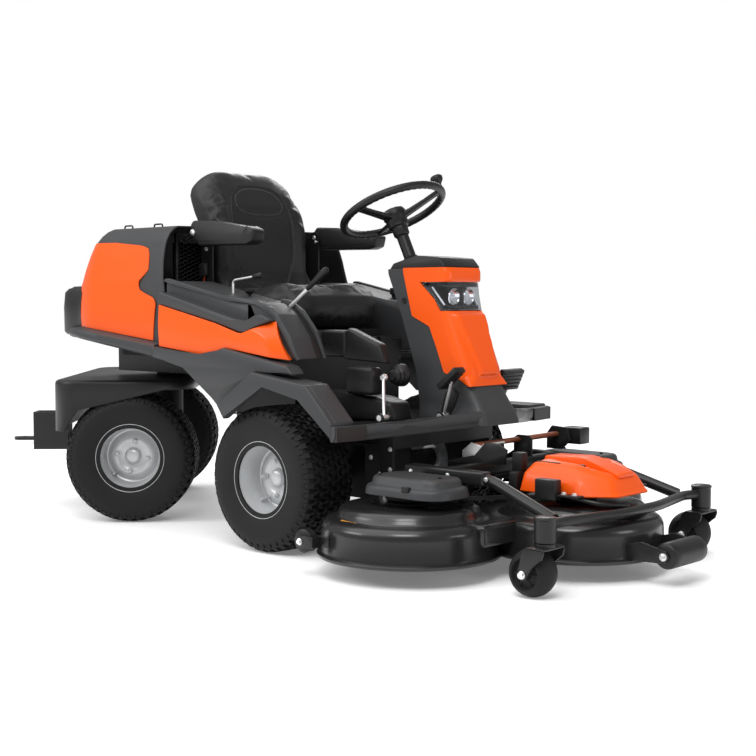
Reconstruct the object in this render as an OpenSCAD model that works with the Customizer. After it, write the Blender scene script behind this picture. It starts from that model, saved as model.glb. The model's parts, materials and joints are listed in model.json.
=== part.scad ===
// Ride-on mower with an out-front deck and an articulated, steered rear carriage.
// Outside sizes are millimetres. +X is forward, +Y is the machine's left, +Z is up.
// Every sub-part is drawn from the front axle: X = 0 under the front axle, Z = 0 on the ground.
// placed() then moves it so that the origin is under the middle of the whole machine.

/* [Chassis] */
// Steering pivot, distance behind the front axle
pivot_back = 1040; // [900:5:1300]
// Rear axle, distance behind the steering pivot
rear_axle_back = 82; // [60:1:110]
// Turn of the rear carriage in this pose, in degrees
steer_rest = 44; // [30:1:45]
// Middle of each tyre, distance from the centre line
track_half = 392; // [380:2:480]
// Middle of each frame rail, distance from the centre line
rail_y = 170; // [160:1:180]
// Width of a frame rail
rail_w = 40; // [30:1:50]
// Height of the foot platform's floor above the ground
floor_z = 404; // [400:1:410]

/* [Wheels] */
// Radius of a driven tyre
tyre_r = 229; // [220:1:235]
// Width of a driven tyre
tyre_w = 208; // [190:1:220]
// Radius of the rim where the tyre's bead sits
bead_r = 104; // [95:1:108]
// Radius of the rim's flange
flange_r = 123; // [118:1:130]
// Radius of a wheel's drive shaft
axle_r = 15; // [12:0.5:20]

/* [Fits] */
// Radial running clearance of a shaft in its bore
run_fit = 0.05; // [0.02:0.01:0.09]
// Gap between parts that pass each other
pass_gap = 2; // [1:0.5:4]
// Radius of the vertical steering pivot pin
pivot_pin_r = 30; // [20:1:40]
// Radius of the deck's hinge pins
deck_pin_r = 10; // [8:0.5:14]

/* [Seat and controls] */
// Half width of the seat cushion
seat_half = 240; // [200:2:250]
// Depth of the seat cushion, front to back
seat_depth = 400; // [360:5:440]
// Outside radius of the steering wheel
wheel_r = 182; // [160:1:200]
// Backward lean of the steering column, in degrees
column_lean = 26; // [20:1:30]

/* [Deck] */
// Radius of each blade's sweep
blade_r = 235; // [200:1:242]
// Middle of an outer blade, distance from the centre line
blade_y = 390; // [370:2:420]
// Height of the skirt's lower edge above the ground
skirt_z = 50; // [35:1:60]
// Radius of a blade's spindle
spindle_r = 12.5; // [10:0.5:16]
// Radius of a caster wheel
caster_r = 66; // [55:1:70]
// Width of a caster wheel
caster_w = 84; // [60:1:90]

/* [Hidden] */
$fn = 48;
orange = "#e2551a";
dark_grey = "#3c3d3f";
black = "#1a1a1b";
silver = "#b4b6b8";

// Frame heights
rail_low = [330, 400];
rail_high = [520, 580];
plate_t = 4;
rail_in = rail_y - rail_w / 2;
rail_out = rail_y + rail_w / 2;
riser = [-440, -380];
pivot_x = -pivot_back;
pivot_hub_r = pivot_pin_r + 28;
pivot_hub = [rail_high[0] - 10, rail_high[1]];
frame_front = 340;

// Wheels and axles
rim_half = tyre_w / 2 - 11;
flange_t = 7;
bead_half = rim_half - flange_t;
disc_out = 15;
disc_t = 6;
hub_in = -60;
housing_end = track_half + hub_in - 7;
shaft_len = 80;
tube_r = axle_r + 19;

// Body side
body_half = track_half + tyre_w / 2 + 40;
flare_in = track_half + tyre_w / 2 + 12;
skirt_out = track_half + tyre_w / 2 + 14;
console_out = skirt_out - 55;
console_in = seat_half + 28;
pedestal_x = [-560, -80];
pedestal_top = 660;

// Hood
hood_front = -505;
hood_rear = pivot_x - 95;
hood_half = console_out + 5;
hood_corner = 250;
hood_wall = 5;
hood_top = 1038;
hood_bottom = 592;
hood_hinge = [pivot_x - 55, 640];
hinge_ear = [192, 200];
hinge_pin_r = 8;
skin = 4;

// Pedals
forward_foot = [430, -116, 430];
reverse_foot = [340, -290, 430];
brake_foot = [420, 170, 430];
pedal_feet = [forward_foot, reverse_foot, brake_foot];
pedal_pin_r = 9;

// Tower and steering
tower_half = 92;
tower_outline = [[165, 868], [235, 735], [296, 560], [318, floor_z], [572, floor_z], [572, 440],
  [516, 520], [502, 575], [428, 750], [408, 845], [408, 888]];
wheel_at = [117, 0, 1078];
rim_tube = 13;
shaft_r = 10;
hub_drop = 95;
knob_angle = 38;
knob_pin_r = 5;

// Seat
seat_front = -100;
seat_rear = seat_front - seat_depth;
seat_base = 685;
bracket_y = seat_half + 14;
arm_in = bracket_y + 12;
arm_pivot = [-503, 1016];
arm_pin_r = 8;

// Deck
deck_pivot = [310, 205];
deck_top = 165;
dome_top = 200;
shell_r = blade_r + 20;
dome_r = blade_r - 45;
shell_wall = 5;
centre_x = 840;
outer_x = 530;
pulley_r = 60;
pulley_z = [214, 228];
belt_t = 9;
arm_plate = [235, 247];
beam = [262, 302];
beam_z = [258, 298];
beam_turn = 730;
post_at = [1022, 412];
post_r = 30;
post_z = [150, 216];
stem_r = 12;
caster_trail = 38;
bar_r = 14;
roller_r = 37;
roller_half = 88;
roller_at = [1190, 88];
side_roller_r = 34;
side_roller_at = [362, 643, 106];
roller_pin_r = 6;

spindles = [[centre_x, 0], [outer_x, -blade_y], [outer_x, blade_y]];

rear_corner = pivot_x - 380 * cos(steer_rest) - (track_half + tyre_w / 2) * sin(steer_rest);
mid_x = (roller_at[0] + roller_r + rear_corner) / 2;

// ---- placing and shared shapes ----

module placed() translate([-mid_x, 0, 0]) children();

module on_carriage() translate([pivot_x, 0, 0]) rotate([0, 0, steer_rest]) children();

// A box from its lowest to its highest corner
module span(low, high) translate(low) cube(high - low);

// A box between two distances from the centre line, on both sides
module pair(x, y, z) for (s = [-1, 1]) scale([1, s, 1]) span([x[0], y[0], z[0]], [x[1], y[1], z[1]]);

// An outline in X and Z, given a thickness along Y from y0 to y1
module side_slab(points, y0, y1)
  translate([0, y1, 0]) rotate([90, 0, 0]) linear_extrude(y1 - y0) polygon(points);

// A round bar between two points
module rod(a, b, r) {
  d = b - a;
  len = norm(d);
  translate(a) rotate([0, acos(d[2] / len), atan2(d[1], d[0])]) cylinder(r = r, h = len);
}

// A round bar along Y, centred on x and z
module cross_pin(x, z, y0, y1, r) translate([x, y0, z]) rotate([-90, 0, 0]) cylinder(r = r, h = y1 - y0);

// A rectangle with round corners, exact arcs
module round_rect(x0, x1, y0, y1, r) {
  translate([x0 + r, y0]) square([x1 - x0 - 2 * r, y1 - y0]);
  translate([x0, y0 + r]) square([x1 - x0, y1 - y0 - 2 * r]);
  for (x = [x0 + r, x1 - r], y = [y0 + r, y1 - r]) translate([x, y]) circle(r);
}

// Moves a shape drawn for one side of the machine to the other side
module other_side() mirror([0, 1, 0]) children();

// ---- chassis ----

module main_frame() color(black) difference() {
  union() {
    pair([riser[0], frame_front], [rail_in, rail_out], rail_low);
    pair(riser, [rail_in, rail_out], [rail_low[0], rail_high[1]]);
    pair([pivot_x - 70, riser[1]], [rail_in, rail_out], rail_high);
    span([riser[0], -rail_in, rail_high[0]], [riser[0] + rail_w, rail_in, rail_high[1]]);
    span([pivot_x - 70, -rail_out, rail_high[0]], [pivot_x + 60, rail_out, rail_high[1]]);
    span([frame_front - rail_w, -arm_plate[1], rail_low[0]], [frame_front, arm_plate[1], rail_low[1]]);
    pair([deck_pivot[0] - 26, deck_pivot[0] + 26], arm_plate, [deck_pivot[1], rail_low[1]]);
    for (s = [-1, 1]) scale([1, s, 1])
      cross_pin(deck_pivot[0], deck_pivot[1], arm_plate[0], arm_plate[1], 26);
    translate([pivot_x, 0, pivot_hub[0]]) cylinder(r = pivot_hub_r, h = pivot_hub[1] - pivot_hub[0]);
    pair([hood_hinge[0] - 15, hood_hinge[0] + 13], [rail_out - 14, rail_out],
      [rail_high[1], hood_hinge[1] + 15]);
    for (s = [-1, 1]) scale([1, s, 1])
      cross_pin(hood_hinge[0], hood_hinge[1], rail_out - 8, hinge_ear[1] + 4, hinge_pin_r);
  }
  translate([pivot_x, 0, 0]) cylinder(r = pivot_pin_r + run_fit, h = 800);
  cross_pin(deck_pivot[0], deck_pivot[1], -400, 400, deck_pin_r + run_fit);
}

// Axle tubes with a bearing bore at each end, for the front and the rear
module axle_beam(block_x, block_z) difference() {
  union() {
    cross_pin(0, tyre_r, -housing_end, housing_end, tube_r);
    span([block_x[0], -110, block_z[0]], [block_x[1], 110, block_z[1]]);
    children();
  }
  for (s = [-1, 1]) scale([1, s, 1])
    cross_pin(0, tyre_r, housing_end - shaft_len - 6, housing_end + 1, axle_r + run_fit);
}

module front_transaxle() color(black) axle_beam([-95, 95], [140, 310])
  pair([-34, 34], [rail_in, rail_out], [tyre_r, rail_low[0]]);

module platform_outline() polygon([[riser[1] + 8, -console_in], [190, -console_in], [190, -430],
  [355, -430], [545, -80], [545, 80], [355, 430], [190, 430], [190, console_in],
  [riser[1] + 8, console_in]]);

module foot_platform() color(dark_grey) {
  difference() {
    union() {
      translate([0, 0, floor_z - plate_t]) linear_extrude(plate_t) platform_outline();
      for (s = [-1, 1]) scale([1, s, 1]) {
        span([354, 420, 376], [375, body_half - 6, 418]);
        hull() {
          span([356, 420, 376], [372, 432, 418]);
          span([538, 70, 404], [554, 84, 446]);
        }
        hull() {
          span([356, 420, 376], [372, body_half - 6, 418]);
          span([372, 418, 376], [388, 432, 418]);
        }
      }
    }
    side_slab(tower_outline, -tower_half - pass_gap / 2, tower_half + pass_gap / 2);
  }
  for (p = pedal_feet) pedal_ears(p);
}

// The two upright ears that carry a pedal's cross tube
module pedal_ears(foot) difference() {
  for (s = [-1, 1]) translate([foot[0], foot[1] + s * 18, 0]) {
    span([-14, -3, floor_z], [14, 3, foot[2]]);
    cross_pin(0, foot[2], -3, 3, 14);
  }
  cross_pin(foot[0], foot[2], foot[1] - 30, foot[1] + 30, pedal_pin_r + run_fit);
}

flare_top = [[-156, 451], [8, 567], [247, 537], [354, 430]];
flare_low = [[354, 378], [217, 495], [61, 526], [-121, 412]];

module fender_flare() {
  side_slab(concat(flare_top, flare_low), -body_half, -flare_in);
  side_slab([[30, 566], [247, 537], [354, 430], [354, 378], [217, 495], [61, 526]], -flare_in, -435);
}

module fender_flares() color(dark_grey) {
  fender_flare();
  other_side() fender_flare();
}

panel_outline = [[-477, 770], [-477, 634], [-255, 612], [-148, 640], [63, 604], [120, 606],
  [52, 716], [-56, 682]];

module side_panels() color(orange) {
  side_slab(panel_outline, 10 - skirt_out, -console_out);
  other_side() side_slab(panel_outline, 10 - skirt_out, -console_out);
}

console_outline = [[-490, 600], [-490, 846], [-160, 785], [-30, 777], [52, 738], [112, 668],
  [142, 604]];
console_cavity = [[-482, 590], [-482, 836], [-160, 777], [-34, 769], [46, 732], [105, 664],
  [130, 596]];
skirt_outline = [[-500, 592], [-500, 632], [-255, 609], [-148, 637], [63, 601], [142, 588],
  [168, 560], [8, 571], [-172, 446], [-214, 483], [-337, 570]];

// Side console with its lower skirt, for the machine's right
module console() {
  difference() {
    side_slab(console_outline, -console_out, -console_in);
    side_slab(console_cavity, -console_out + plate_t, -console_in - plate_t);
  }
  side_slab(skirt_outline, -skirt_out, -console_out);
}

throttle_at = [-262, -360, 790];
throttle_r = 4;
lever_pivot = [-170, -360, 640];
lever_slot = 13;
knob_at = [-215, -330, 784];
knob_r = 6;

lever_pin_r = 8;

module side_console_right() color(dark_grey) {
  difference() {
    console();
    translate([throttle_at[0], throttle_at[1], 700]) cylinder(r = throttle_r + run_fit, h = 150);
    translate([knob_at[0], knob_at[1], 700]) cylinder(r = knob_r + run_fit, h = 150);
    span([-70, lever_pivot[1] - lever_slot, 598], [143, lever_pivot[1] + lever_slot, 800]);
  }
  cross_pin(lever_pivot[0], lever_pivot[2], 2 - console_out, -console_in - 2, lever_pin_r);
}

filler_at = [-170, 350];
filler_r = 30;

module side_console_left() color(dark_grey) difference() {
  other_side() console();
  translate([filler_at[0], filler_at[1], 700]) cylinder(r = filler_r + pass_gap, h = 200);
}

module fuel_tank() color(black) {
  span([-460, console_in + 12, 600], [-60, console_out - 12, 700]);
  translate([filler_at[0], filler_at[1], 700]) cylinder(r = filler_r - 6, h = 105);
  translate([filler_at[0], filler_at[1], 805]) cylinder(r = filler_r, h = 24);
  span([-460, console_in + 4, 640], [-430, console_in + 12, 660]);
}

slide_y = [140, 160];

module seat_pedestal() color(black) difference() {
  union() {
    span([pedestal_x[0], -console_in, rail_high[1]], [pedestal_x[1], console_in, pedestal_top - 8]);
    span([riser[1] + 10, -console_in + 14, floor_z], [pedestal_x[1], console_in - 14, rail_high[1]]);
    span([pedestal_x[0], -seat_half + 20, rail_high[1]], [pedestal_x[1], seat_half - 20, pedestal_top]);
  }
  span([riser[1] + 17, -244, 0], [pedestal_x[1] - 5, 244, 612]);
  pair([pedestal_x[0] - 1, pedestal_x[1] + 1], [slide_y[0] - 0.5, slide_y[1] + 0.5], [637.5, 700]);
}

module battery() color(black) {
  span([-300, -90, floor_z], [-110, 90, floor_z + 170]);
  for (y = [-60, 60]) translate([-280, y, floor_z + 170]) cylinder(r = 8, h = 16);
}

module tower_form(grow) {
  k = grow / 200;
  translate([0, tower_half + grow, 0]) rotate([90, 0, 0]) linear_extrude(2 * (tower_half + grow))
    intersection() {
      translate([330 * -k, 650 * -k]) scale([1 + k, 1 + k]) polygon(tower_outline);
      translate([-500, floor_z]) square([2000, 484]);
    }
}

module tower_shell() color(dark_grey) difference() {
  tower_form(0);
  tower_form(-8);
  side_slab([[327, floor_z - 1], [562, floor_z - 1], [556, 436], [325, 436]], 8 - tower_half, tower_half - 8);
  column_axis() cylinder(r = 26, h = 900, center = true);
}

cover_outline = [[242, 873.5], [279, 736], [352, 704], [409, 563], [479, 561], [508, 523],
  [700, 523], [700, 888], [408, 887.5]];
lens_outline = [[312, 842], [372, 788], [396, 752], [700, 752], [700, 842]];

module tower_skin() difference() {
  tower_form(skin);
  tower_form(0);
}

module tower_cover() color(orange) difference() {
  intersection() {
    tower_skin();
    side_slab(cover_outline, -200, 200);
  }
  side_slab(lens_outline, -200, 200);
}

module headlight_lens() color([0.85, 0.88, 0.9, 0.5]) intersection() {
  tower_skin();
  side_slab(lens_outline, -200, 200);
}

module dash_cap() color(black) difference() {
  side_slab([[165, 868], [196, 902], [290, 926], [392, 916], [408, 888]], -tower_half, tower_half);
  column_axis() cylinder(r = 26, h = 900, center = true);
}

// The steering axis: local Z runs up the column, and local Z = 0 is the steering wheel's plane
module column_axis() translate(wheel_at) rotate([0, -column_lean, 0]) children();

module steering_column() color(black) difference() {
  union() {
    column_axis() translate([0, 0, -480]) cylinder(r = 20, h = 480 - hub_drop - pass_gap);
    span([306, -30, 690], [374, 30, 704]);
    span([350, -30, floor_z], [374, 30, 700]);
  }
  column_axis() translate([0, 0, -hub_drop - 160]) cylinder(r = shaft_r + run_fit, h = 200);
}

engine_x = [pivot_x - 60, pivot_x + 350];

module engine() color(silver) {
  span([engine_x[0] + 20, -rail_out, rail_high[1]], [engine_x[1], rail_out, 720]);
  translate([engine_x[0] + 200, 0, 720]) cylinder(r = 165, h = 70);
  translate([engine_x[0] + 200, 0, 790]) cylinder(r = 110, h = 60);
  for (s = [-1, 1]) scale([1, s, 1]) span([engine_x[0] + 60, rail_out, 640], [engine_x[0] + 200, 290, 760]);
  span([engine_x[0] + 300, -120, 720], [engine_x[1], 120, 800]);
}

module radiator_screen() color(black) {
  span([-646, -300, rail_high[1]], [-630, 300, 985]);
}

// ---- seat ----

module seat_frame() color(black) {
  span([seat_rear - 60, -seat_half + 20, pedestal_top + 0.5], [seat_front - 40, seat_half - 20, seat_base]);
  span([arm_pivot[0] - 40, -bracket_y - 6, pedestal_top + 0.5], [arm_pivot[0] + 25, bracket_y + 6, 672]);
  pair([seat_rear - 40, seat_front - 60], [slide_y[0], slide_y[1]], [638, pedestal_top + 1]);
  difference() {
    union() {
      pair([arm_pivot[0] - 37, arm_pivot[0] + 22], [bracket_y, bracket_y + 6],
        [pedestal_top + 0.5, arm_pivot[1]]);
      for (s = [-1, 1]) scale([1, s, 1])
        cross_pin(arm_pivot[0], arm_pivot[1], bracket_y, bracket_y + 6, 22);
    }
    cross_pin(arm_pivot[0], arm_pivot[1], -400, 400, arm_pin_r + run_fit);
  }
}

cushion_outline = [[seat_rear, seat_base], [seat_rear, 812], [seat_front - 160, 820],
  [seat_front - 60, 832], [seat_front - 22, 822], [seat_front, 786], [seat_front - 4, 735],
  [seat_front - 40, seat_base]];

module seat_cushion() color(black) intersection() {
  side_slab(cushion_outline, -seat_half, seat_half);
  linear_extrude(900) round_rect(seat_rear - 120, seat_front, -seat_half, seat_half, 100);
}

backrest_outline = [[0, seat_base], [0, 850], [-12, 1060], [-50, 1170], [-92, 1240], [-120, 1255],
  [-160, 1250], [-176, 1225], [-150, 1150], [-96, 1060], [-85, 850], [-75, seat_base]];

module seat_backrest() color(black) intersection() {
  translate([seat_rear, 0, 0]) side_slab(backrest_outline, -seat_half - 6, seat_half + 6);
  translate([seat_rear - 300, 0, 0]) rotate([90, 0, 90]) linear_extrude(600)
    round_rect(-seat_half - 6, seat_half + 6, seat_base - 150, 1255, 130);
}

arm_outline = [[-522, 1050], [-515, 1057], [-400, 1050], [-212, 1018], [-200, 1008], [-212, 974],
  [-240, 968], [-470, 970], [-500, 980]];

module armrest() {
  side_slab(arm_outline, -arm_in - 62, -arm_in);
  cross_pin(arm_pivot[0], arm_pivot[1], -arm_in, -bracket_y + 2, arm_pin_r);
}

module armrest_right() color(black) armrest();
module armrest_left() color(black) other_side() armrest();

// ---- controls ----

module steering_wheel() color(black) column_axis() difference() {
  union() {
    rotate_extrude() translate([wheel_r - rim_tube, 0]) circle(rim_tube);
    translate([0, 0, -60]) cylinder(r = 30, h = 62);
    translate([0, 0, -hub_drop]) cylinder(r = 26, h = 40);
    translate([0, 0, -hub_drop - 140]) cylinder(r = shaft_r, h = 150);
    for (a = [-90, 30, 150]) rotate([0, 0, a]) hull() {
      span([20, -16, -34], [24, 16, -12]);
      span([wheel_r - 18, -12, -6], [wheel_r - 14, 12, 6]);
    }
    rotate([0, 0, knob_angle]) translate([wheel_r - rim_tube, 0, 0]) cylinder(r = 12, h = 26);
  }
  rotate([0, 0, knob_angle]) translate([wheel_r - rim_tube, 0, 4]) cylinder(r = knob_pin_r + run_fit, h = 40);
}

module steering_knob() color(black) column_axis() rotate([0, 0, knob_angle])
  translate([wheel_r - rim_tube, 0, 0]) {
    translate([0, 0, 5]) cylinder(r = knob_pin_r, h = 30);
    translate([0, 0, 27]) cylinder(r1 = 10, r2 = 20, h = 26);
    translate([0, 0, 53]) cylinder(r = 20, h = 8);
  }

module throttle_lever() color(silver) {
  bend = throttle_at + [0, 0, 58];
  tip = bend + [132, 0, 16];
  rod([throttle_at[0], throttle_at[1], 740], bend + [0, 0, 3], throttle_r);
  rod(bend, tip, throttle_r - 0.4);
  rod(tip - [34, 0, 4], tip + [8, 0, 1], 8);
}

lever_reach = [190, 0, 135];

module lift_lever() color(silver) {
  difference() {
    union() {
      cross_pin(lever_pivot[0], lever_pivot[2], lever_pivot[1] - 10, lever_pivot[1] + 10, 16);
      rod(lever_pivot, lever_pivot + 1.35 * lever_reach, 6);
    }
    cross_pin(lever_pivot[0], lever_pivot[2], -500, 0, lever_pin_r + run_fit);
  }
  rod(lever_pivot + 1.3 * lever_reach, lever_pivot + 1.78 * lever_reach, 11);
}

module pto_knob() color(black) {
  translate([knob_at[0], knob_at[1], 740]) cylinder(r = knob_r, h = 70);
  translate([knob_at[0], knob_at[1], 806]) cylinder(r = 17, h = 14);
}

// A pedal: a pad on an arm that turns on its own cross tube
module pedal(foot, pad_at, lean, pad) {
  cross_pin(foot[0], foot[2], foot[1] - 23, foot[1] + 23, pedal_pin_r);
  rod(foot, pad_at, 5);
  translate(pad_at) rotate([0, lean, 0]) span([-6, -pad[1] / 2, -pad[0] / 2], [6, pad[1] / 2, pad[0] / 2]);
}

module forward_pedal() color(black) pedal(forward_foot, [478, -136, 545], 50, [90, 48]);
module reverse_pedal() color(silver) pedal(reverse_foot, [292, -240, 545], 60, [40, 30]);
module brake_pedal() color(black) pedal(brake_foot, [470, 170, 530], 25, [70, 110]);

// ---- hood ----

hood_side = [[hood_front, hood_bottom], [hood_front + 10, 790], [hood_front - 24, 870],
  [hood_front - 38, hood_top - 4], [hood_front - 50, hood_top], [hood_rear + 230, hood_top],
  [hood_rear + 105, 990], [hood_rear + 25, 900], [hood_rear, 840], [hood_rear, 652],
  [hood_rear + 160, 652]];
hood_section = [[-hood_half, 500], [hood_half, 500], [hood_half, 760], [hood_half - 22, 900],
  [hood_half - 40, 985], [hood_half - 92, hood_top + 10], [92 - hood_half, hood_top + 10],
  [40 - hood_half, 985], [22 - hood_half, 900], [-hood_half, 760]];

// The hood's body, grown outward by grow on its sides, rear and top
module hood_plan(grow) translate([0, 0, 400]) linear_extrude(800)
  round_rect(hood_rear - grow, hood_front + 400, -hood_half - grow, hood_half + grow, hood_corner + grow);

module hood_form(grow) {
  k = grow / hood_half;
  intersection() {
    translate([0, hood_half + grow, grow]) rotate([90, 0, 0]) linear_extrude(2 * (hood_half + grow))
      union() {
        polygon(hood_side);
        translate([-grow, 0]) polygon(hood_side);
      }
    hood_plan(grow);
    translate([hood_rear - 200, 0, 0]) rotate([90, 0, 90]) linear_extrude(1200)
      scale([1 + k, 1 + k * 0.4]) polygon(hood_section);
  }
}

lip_outline = [[hood_front - 3, 592], [hood_front - 3, 634], [hood_rear + 150, 690],
  [hood_rear - 100, 692], [hood_rear - 100, 652], [hood_rear + 160, 652]];

module hood_shell() color(dark_grey) {
  difference() {
    union() {
      hood_form(0);
      intersection() {
        side_slab(lip_outline, -hood_half - 45, hood_half + 45);
        hood_plan(45);
      }
    }
    intersection() {
      translate([0, 0, -hood_wall]) hood_form(-hood_wall);
      span([hood_rear + hood_wall, -600, 0], [0, 600, 1200]);
    }
    translate([0, 0, -200]) intersection() {
      hood_form(-hood_wall);
      hood_plan(-hood_wall);
    }
    span([hood_front - 155, -345, 500], [0, 345, 1200]);
    span([hood_front - 60, -hood_half + hood_wall, 500], [0, hood_half - hood_wall, 1010]);
  }
  difference() {
    for (s = [-1, 1]) scale([1, s, 1]) {
      side_slab([[hood_rear + 2, 662], [hood_hinge[0] - 10, 628], [hood_hinge[0] + 14, 640],
        [hood_hinge[0] + 10, 664], [hood_rear + 2, 740]], hinge_ear[0], hinge_ear[1]);
      cross_pin(hood_hinge[0], hood_hinge[1], hinge_ear[0], hinge_ear[1], 16);
    }
    cross_pin(hood_hinge[0], hood_hinge[1], -300, 300, hinge_pin_r + run_fit);
  }
}

hood_panel_outline = [[hood_front - 4, 636], [hood_front - 6, 770], [hood_front - 44, 790],
  [hood_front - 62, 812], [hood_front - 40, 880], [hood_front - 46, 955], [hood_front - 70, 972],
  [hood_rear + 150, 985], [hood_rear + 70, 900], [hood_rear + 60, 840], [hood_rear + 100, 700],
  [hood_rear + 100, 684]];

module hood_panels() color(orange) difference() {
  intersection() {
    hood_form(skin);
    side_slab(hood_panel_outline, -600, 600);
  }
  hood_form(0);
  span([hood_rear - 200, -hood_half + 80, 0], [0, hood_half - 80, 1200]);
  intersection() {
    side_slab(lip_outline, -hood_half - 46, hood_half + 46);
    hood_plan(46);
  }
}

module rear_grille() color(black) difference() {
  intersection() {
    hood_plan(82);
    span([hood_rear - 100, -600, 694], [hood_rear + 96, 600, 830]);
  }
  hood_form(0);
  intersection() {
    hood_form(skin + 0.5);
    span([hood_rear + 50, -600, 600], [0, 600, 1200]);
  }
  intersection() {
    hood_plan(78);
    span([hood_rear - 100, -600, 698], [hood_rear + 400, 600, 826]);
  }
}

// ---- rear carriage ----

module rear_axle() color(black) on_carriage() {
  translate([-rear_axle_back, 0, 0]) axle_beam([-90, 110], [140, 320]);
  translate([0, 0, 300]) cylinder(r = pivot_hub_r - 8, h = pivot_hub[0] - pass_gap - 300);
  translate([0, 0, 300]) cylinder(r = pivot_pin_r, h = pivot_hub[1] - 2 - 300);
}

fender_out = track_half + tyre_w / 2;
fender_outline = [[-380, 300], [-368, 430], [-330, 496], [-200, 503], [90, 503], [140, 470],
  [134, 464], [88, 497], [-200, 497], [-326, 490], [-362, 428], [-374, 300]];

module rear_fender() color(black) on_carriage() difference() {
  union() {
    side_slab(fender_outline, -fender_out, fender_out);
    for (s = [-1, 1]) scale([1, s, 1])
      side_slab([[-120, 320], [-40, 320], [-40, 498], [-120, 498]], 90, 96);
  }
  translate([0, 0, 400]) cylinder(r = pivot_hub_r + 10, h = 200);
}

tow_hole_r = 10.5;

module tow_hitch() color(silver) on_carriage() difference() {
  union() {
    span([-470, -36, 215], [-rear_axle_back - 90, 36, 265]);
    span([-519, -42, 212], [-386, 42, 356]);
    span([-575, -26, 246], [-519, 26, 258]);
    translate([-575, 0, 246]) cylinder(r = 26, h = 12);
  }
  translate([-560, 0, 200]) cylinder(r = tow_hole_r, h = 100);
  span([-507, -30, 270], [-398, 30, 360]);
}

// ---- driven wheels ----

tyre_half = [[bead_r, bead_half], [flange_r + 2, bead_half], [150, tyre_w / 2 - 1],
  [tyre_r - 29, tyre_w / 2], [tyre_r - 7, tyre_w / 2 - 9], [tyre_r, tyre_w / 2 - 24]];
tyre_inside = [[bead_r - 1, bead_half - 16], [bead_r + 14, bead_half - 14], [140, tyre_w / 2 - 14],
  [tyre_r - 29, tyre_w / 2 - 12], [tyre_r - 15, tyre_w / 2 - 28]];

function mirrored(points) = [for (i = [len(points) - 1 : -1 : 0]) [points[i][0], -points[i][1]]];

module tyre() color(black) rotate_extrude($fn = 96) difference() {
  polygon(concat(tyre_half, mirrored(tyre_half)));
  polygon(concat(tyre_inside, mirrored(tyre_inside)));
}

module rim() color(silver) {
  rotate_extrude($fn = 96) polygon([[0, disc_out + 16], [24, disc_out + 16], [30, disc_out + 8],
    [30, disc_out], [bead_r - 6, disc_out], [bead_r - 6, rim_half], [flange_r, rim_half],
    [flange_r, bead_half], [bead_r, bead_half], [bead_r, -bead_half], [flange_r, -bead_half],
    [flange_r, -rim_half], [bead_r - 6, -rim_half], [bead_r - 6, disc_out - disc_t],
    [45, disc_out - disc_t], [45, hub_in], [axle_r, hub_in],
    [axle_r, housing_end - shaft_len - track_half], [0, housing_end - shaft_len - track_half]]);
  for (a = [45 : 90 : 315]) rotate([0, 0, a]) translate([55, 0, disc_out - 1]) cylinder(r = 9, h = 14, $fn = 6);
}

// side is -1 for the machine's right and 1 for its left
module wheel_at(x, side) translate([x, side * track_half, tyre_r]) rotate([-90 * side, 0, 0]) children();

module front_right_tyre() wheel_at(0, -1) tyre();
module front_right_rim() wheel_at(0, -1) rim();
module front_left_tyre() wheel_at(0, 1) tyre();
module front_left_rim() wheel_at(0, 1) rim();
module rear_right_tyre() on_carriage() wheel_at(-rear_axle_back, -1) tyre();
module rear_right_rim() on_carriage() wheel_at(-rear_axle_back, -1) rim();
module rear_left_tyre() on_carriage() wheel_at(-rear_axle_back, 1) tyre();
module rear_left_rim() on_carriage() wheel_at(-rear_axle_back, 1) rim();

// ---- mower deck ----

module humps(r, z0, z1) for (p = spindles) translate([p[0], p[1], z0]) cylinder(r = r, h = z1 - z0, $fn = 96);

module deck_shell() color(black) difference() {
  union() {
    difference() {
      union() {
        humps(shell_r, skirt_z, deck_top);
        humps(dome_r, deck_top - 1, dome_top);
        span([outer_x - 20, -blade_y, skirt_z + 40], [centre_x - 40, blade_y, deck_top]);
        humps(shell_r + 10, skirt_z, skirt_z + 8);
      }
      humps(shell_r - shell_wall, skirt_z - 1, deck_top - shell_wall);
      humps(dome_r - shell_wall, deck_top - 10, dome_top - shell_wall);
      span([outer_x - 16, -blade_y, skirt_z - 1], [centre_x - 44, blade_y, deck_top - shell_wall]);
    }
    for (s = [-1, 1]) scale([1, s, 1])
      side_slab([[centre_x + shell_r - 24, 66], [centre_x + shell_r - 24, 106],
        [roller_at[0], roller_at[1] + 18], [roller_at[0] + 18, roller_at[1]],
        [roller_at[0], roller_at[1] - 18]], roller_half + 3, roller_half + 10);
    for (s = [-1, 1]) scale([1, s, 1]) {
      span([side_roller_at[0], side_roller_at[1] - 26, 88], [440, side_roller_at[1] - 18, 124]);
      span([side_roller_at[0], side_roller_at[1] + 18, 88], [412, side_roller_at[1] + 26, 124]);
      span([404, side_roller_at[1] - 22, 88], [412, side_roller_at[1] + 22, 124]);
      cross_pin(side_roller_at[0], side_roller_at[2], side_roller_at[1] - 26, side_roller_at[1] - 18, 18);
      cross_pin(side_roller_at[0], side_roller_at[2], side_roller_at[1] + 18, side_roller_at[1] + 26, 18);
    }
  }
  for (p = spindles) translate([p[0], p[1], 100]) cylinder(r = spindle_r + 14, h = 200);
  cross_pin(roller_at[0], roller_at[1], -200, 200, roller_pin_r + run_fit);
  cross_pin(side_roller_at[0], side_roller_at[2], -800, 800, roller_pin_r + run_fit);
}

module spindle_housings() color(black) for (p = spindles) translate([p[0], p[1], 0]) difference() {
  union() {
    translate([0, 0, dome_top]) cylinder(r = 60, h = 6);
    translate([0, 0, 150]) cylinder(r = spindle_r + 13, h = pulley_z[0] - pass_gap - 150);
  }
  translate([0, 0, 100]) cylinder(r = spindle_r + run_fit, h = 200);
}

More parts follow.
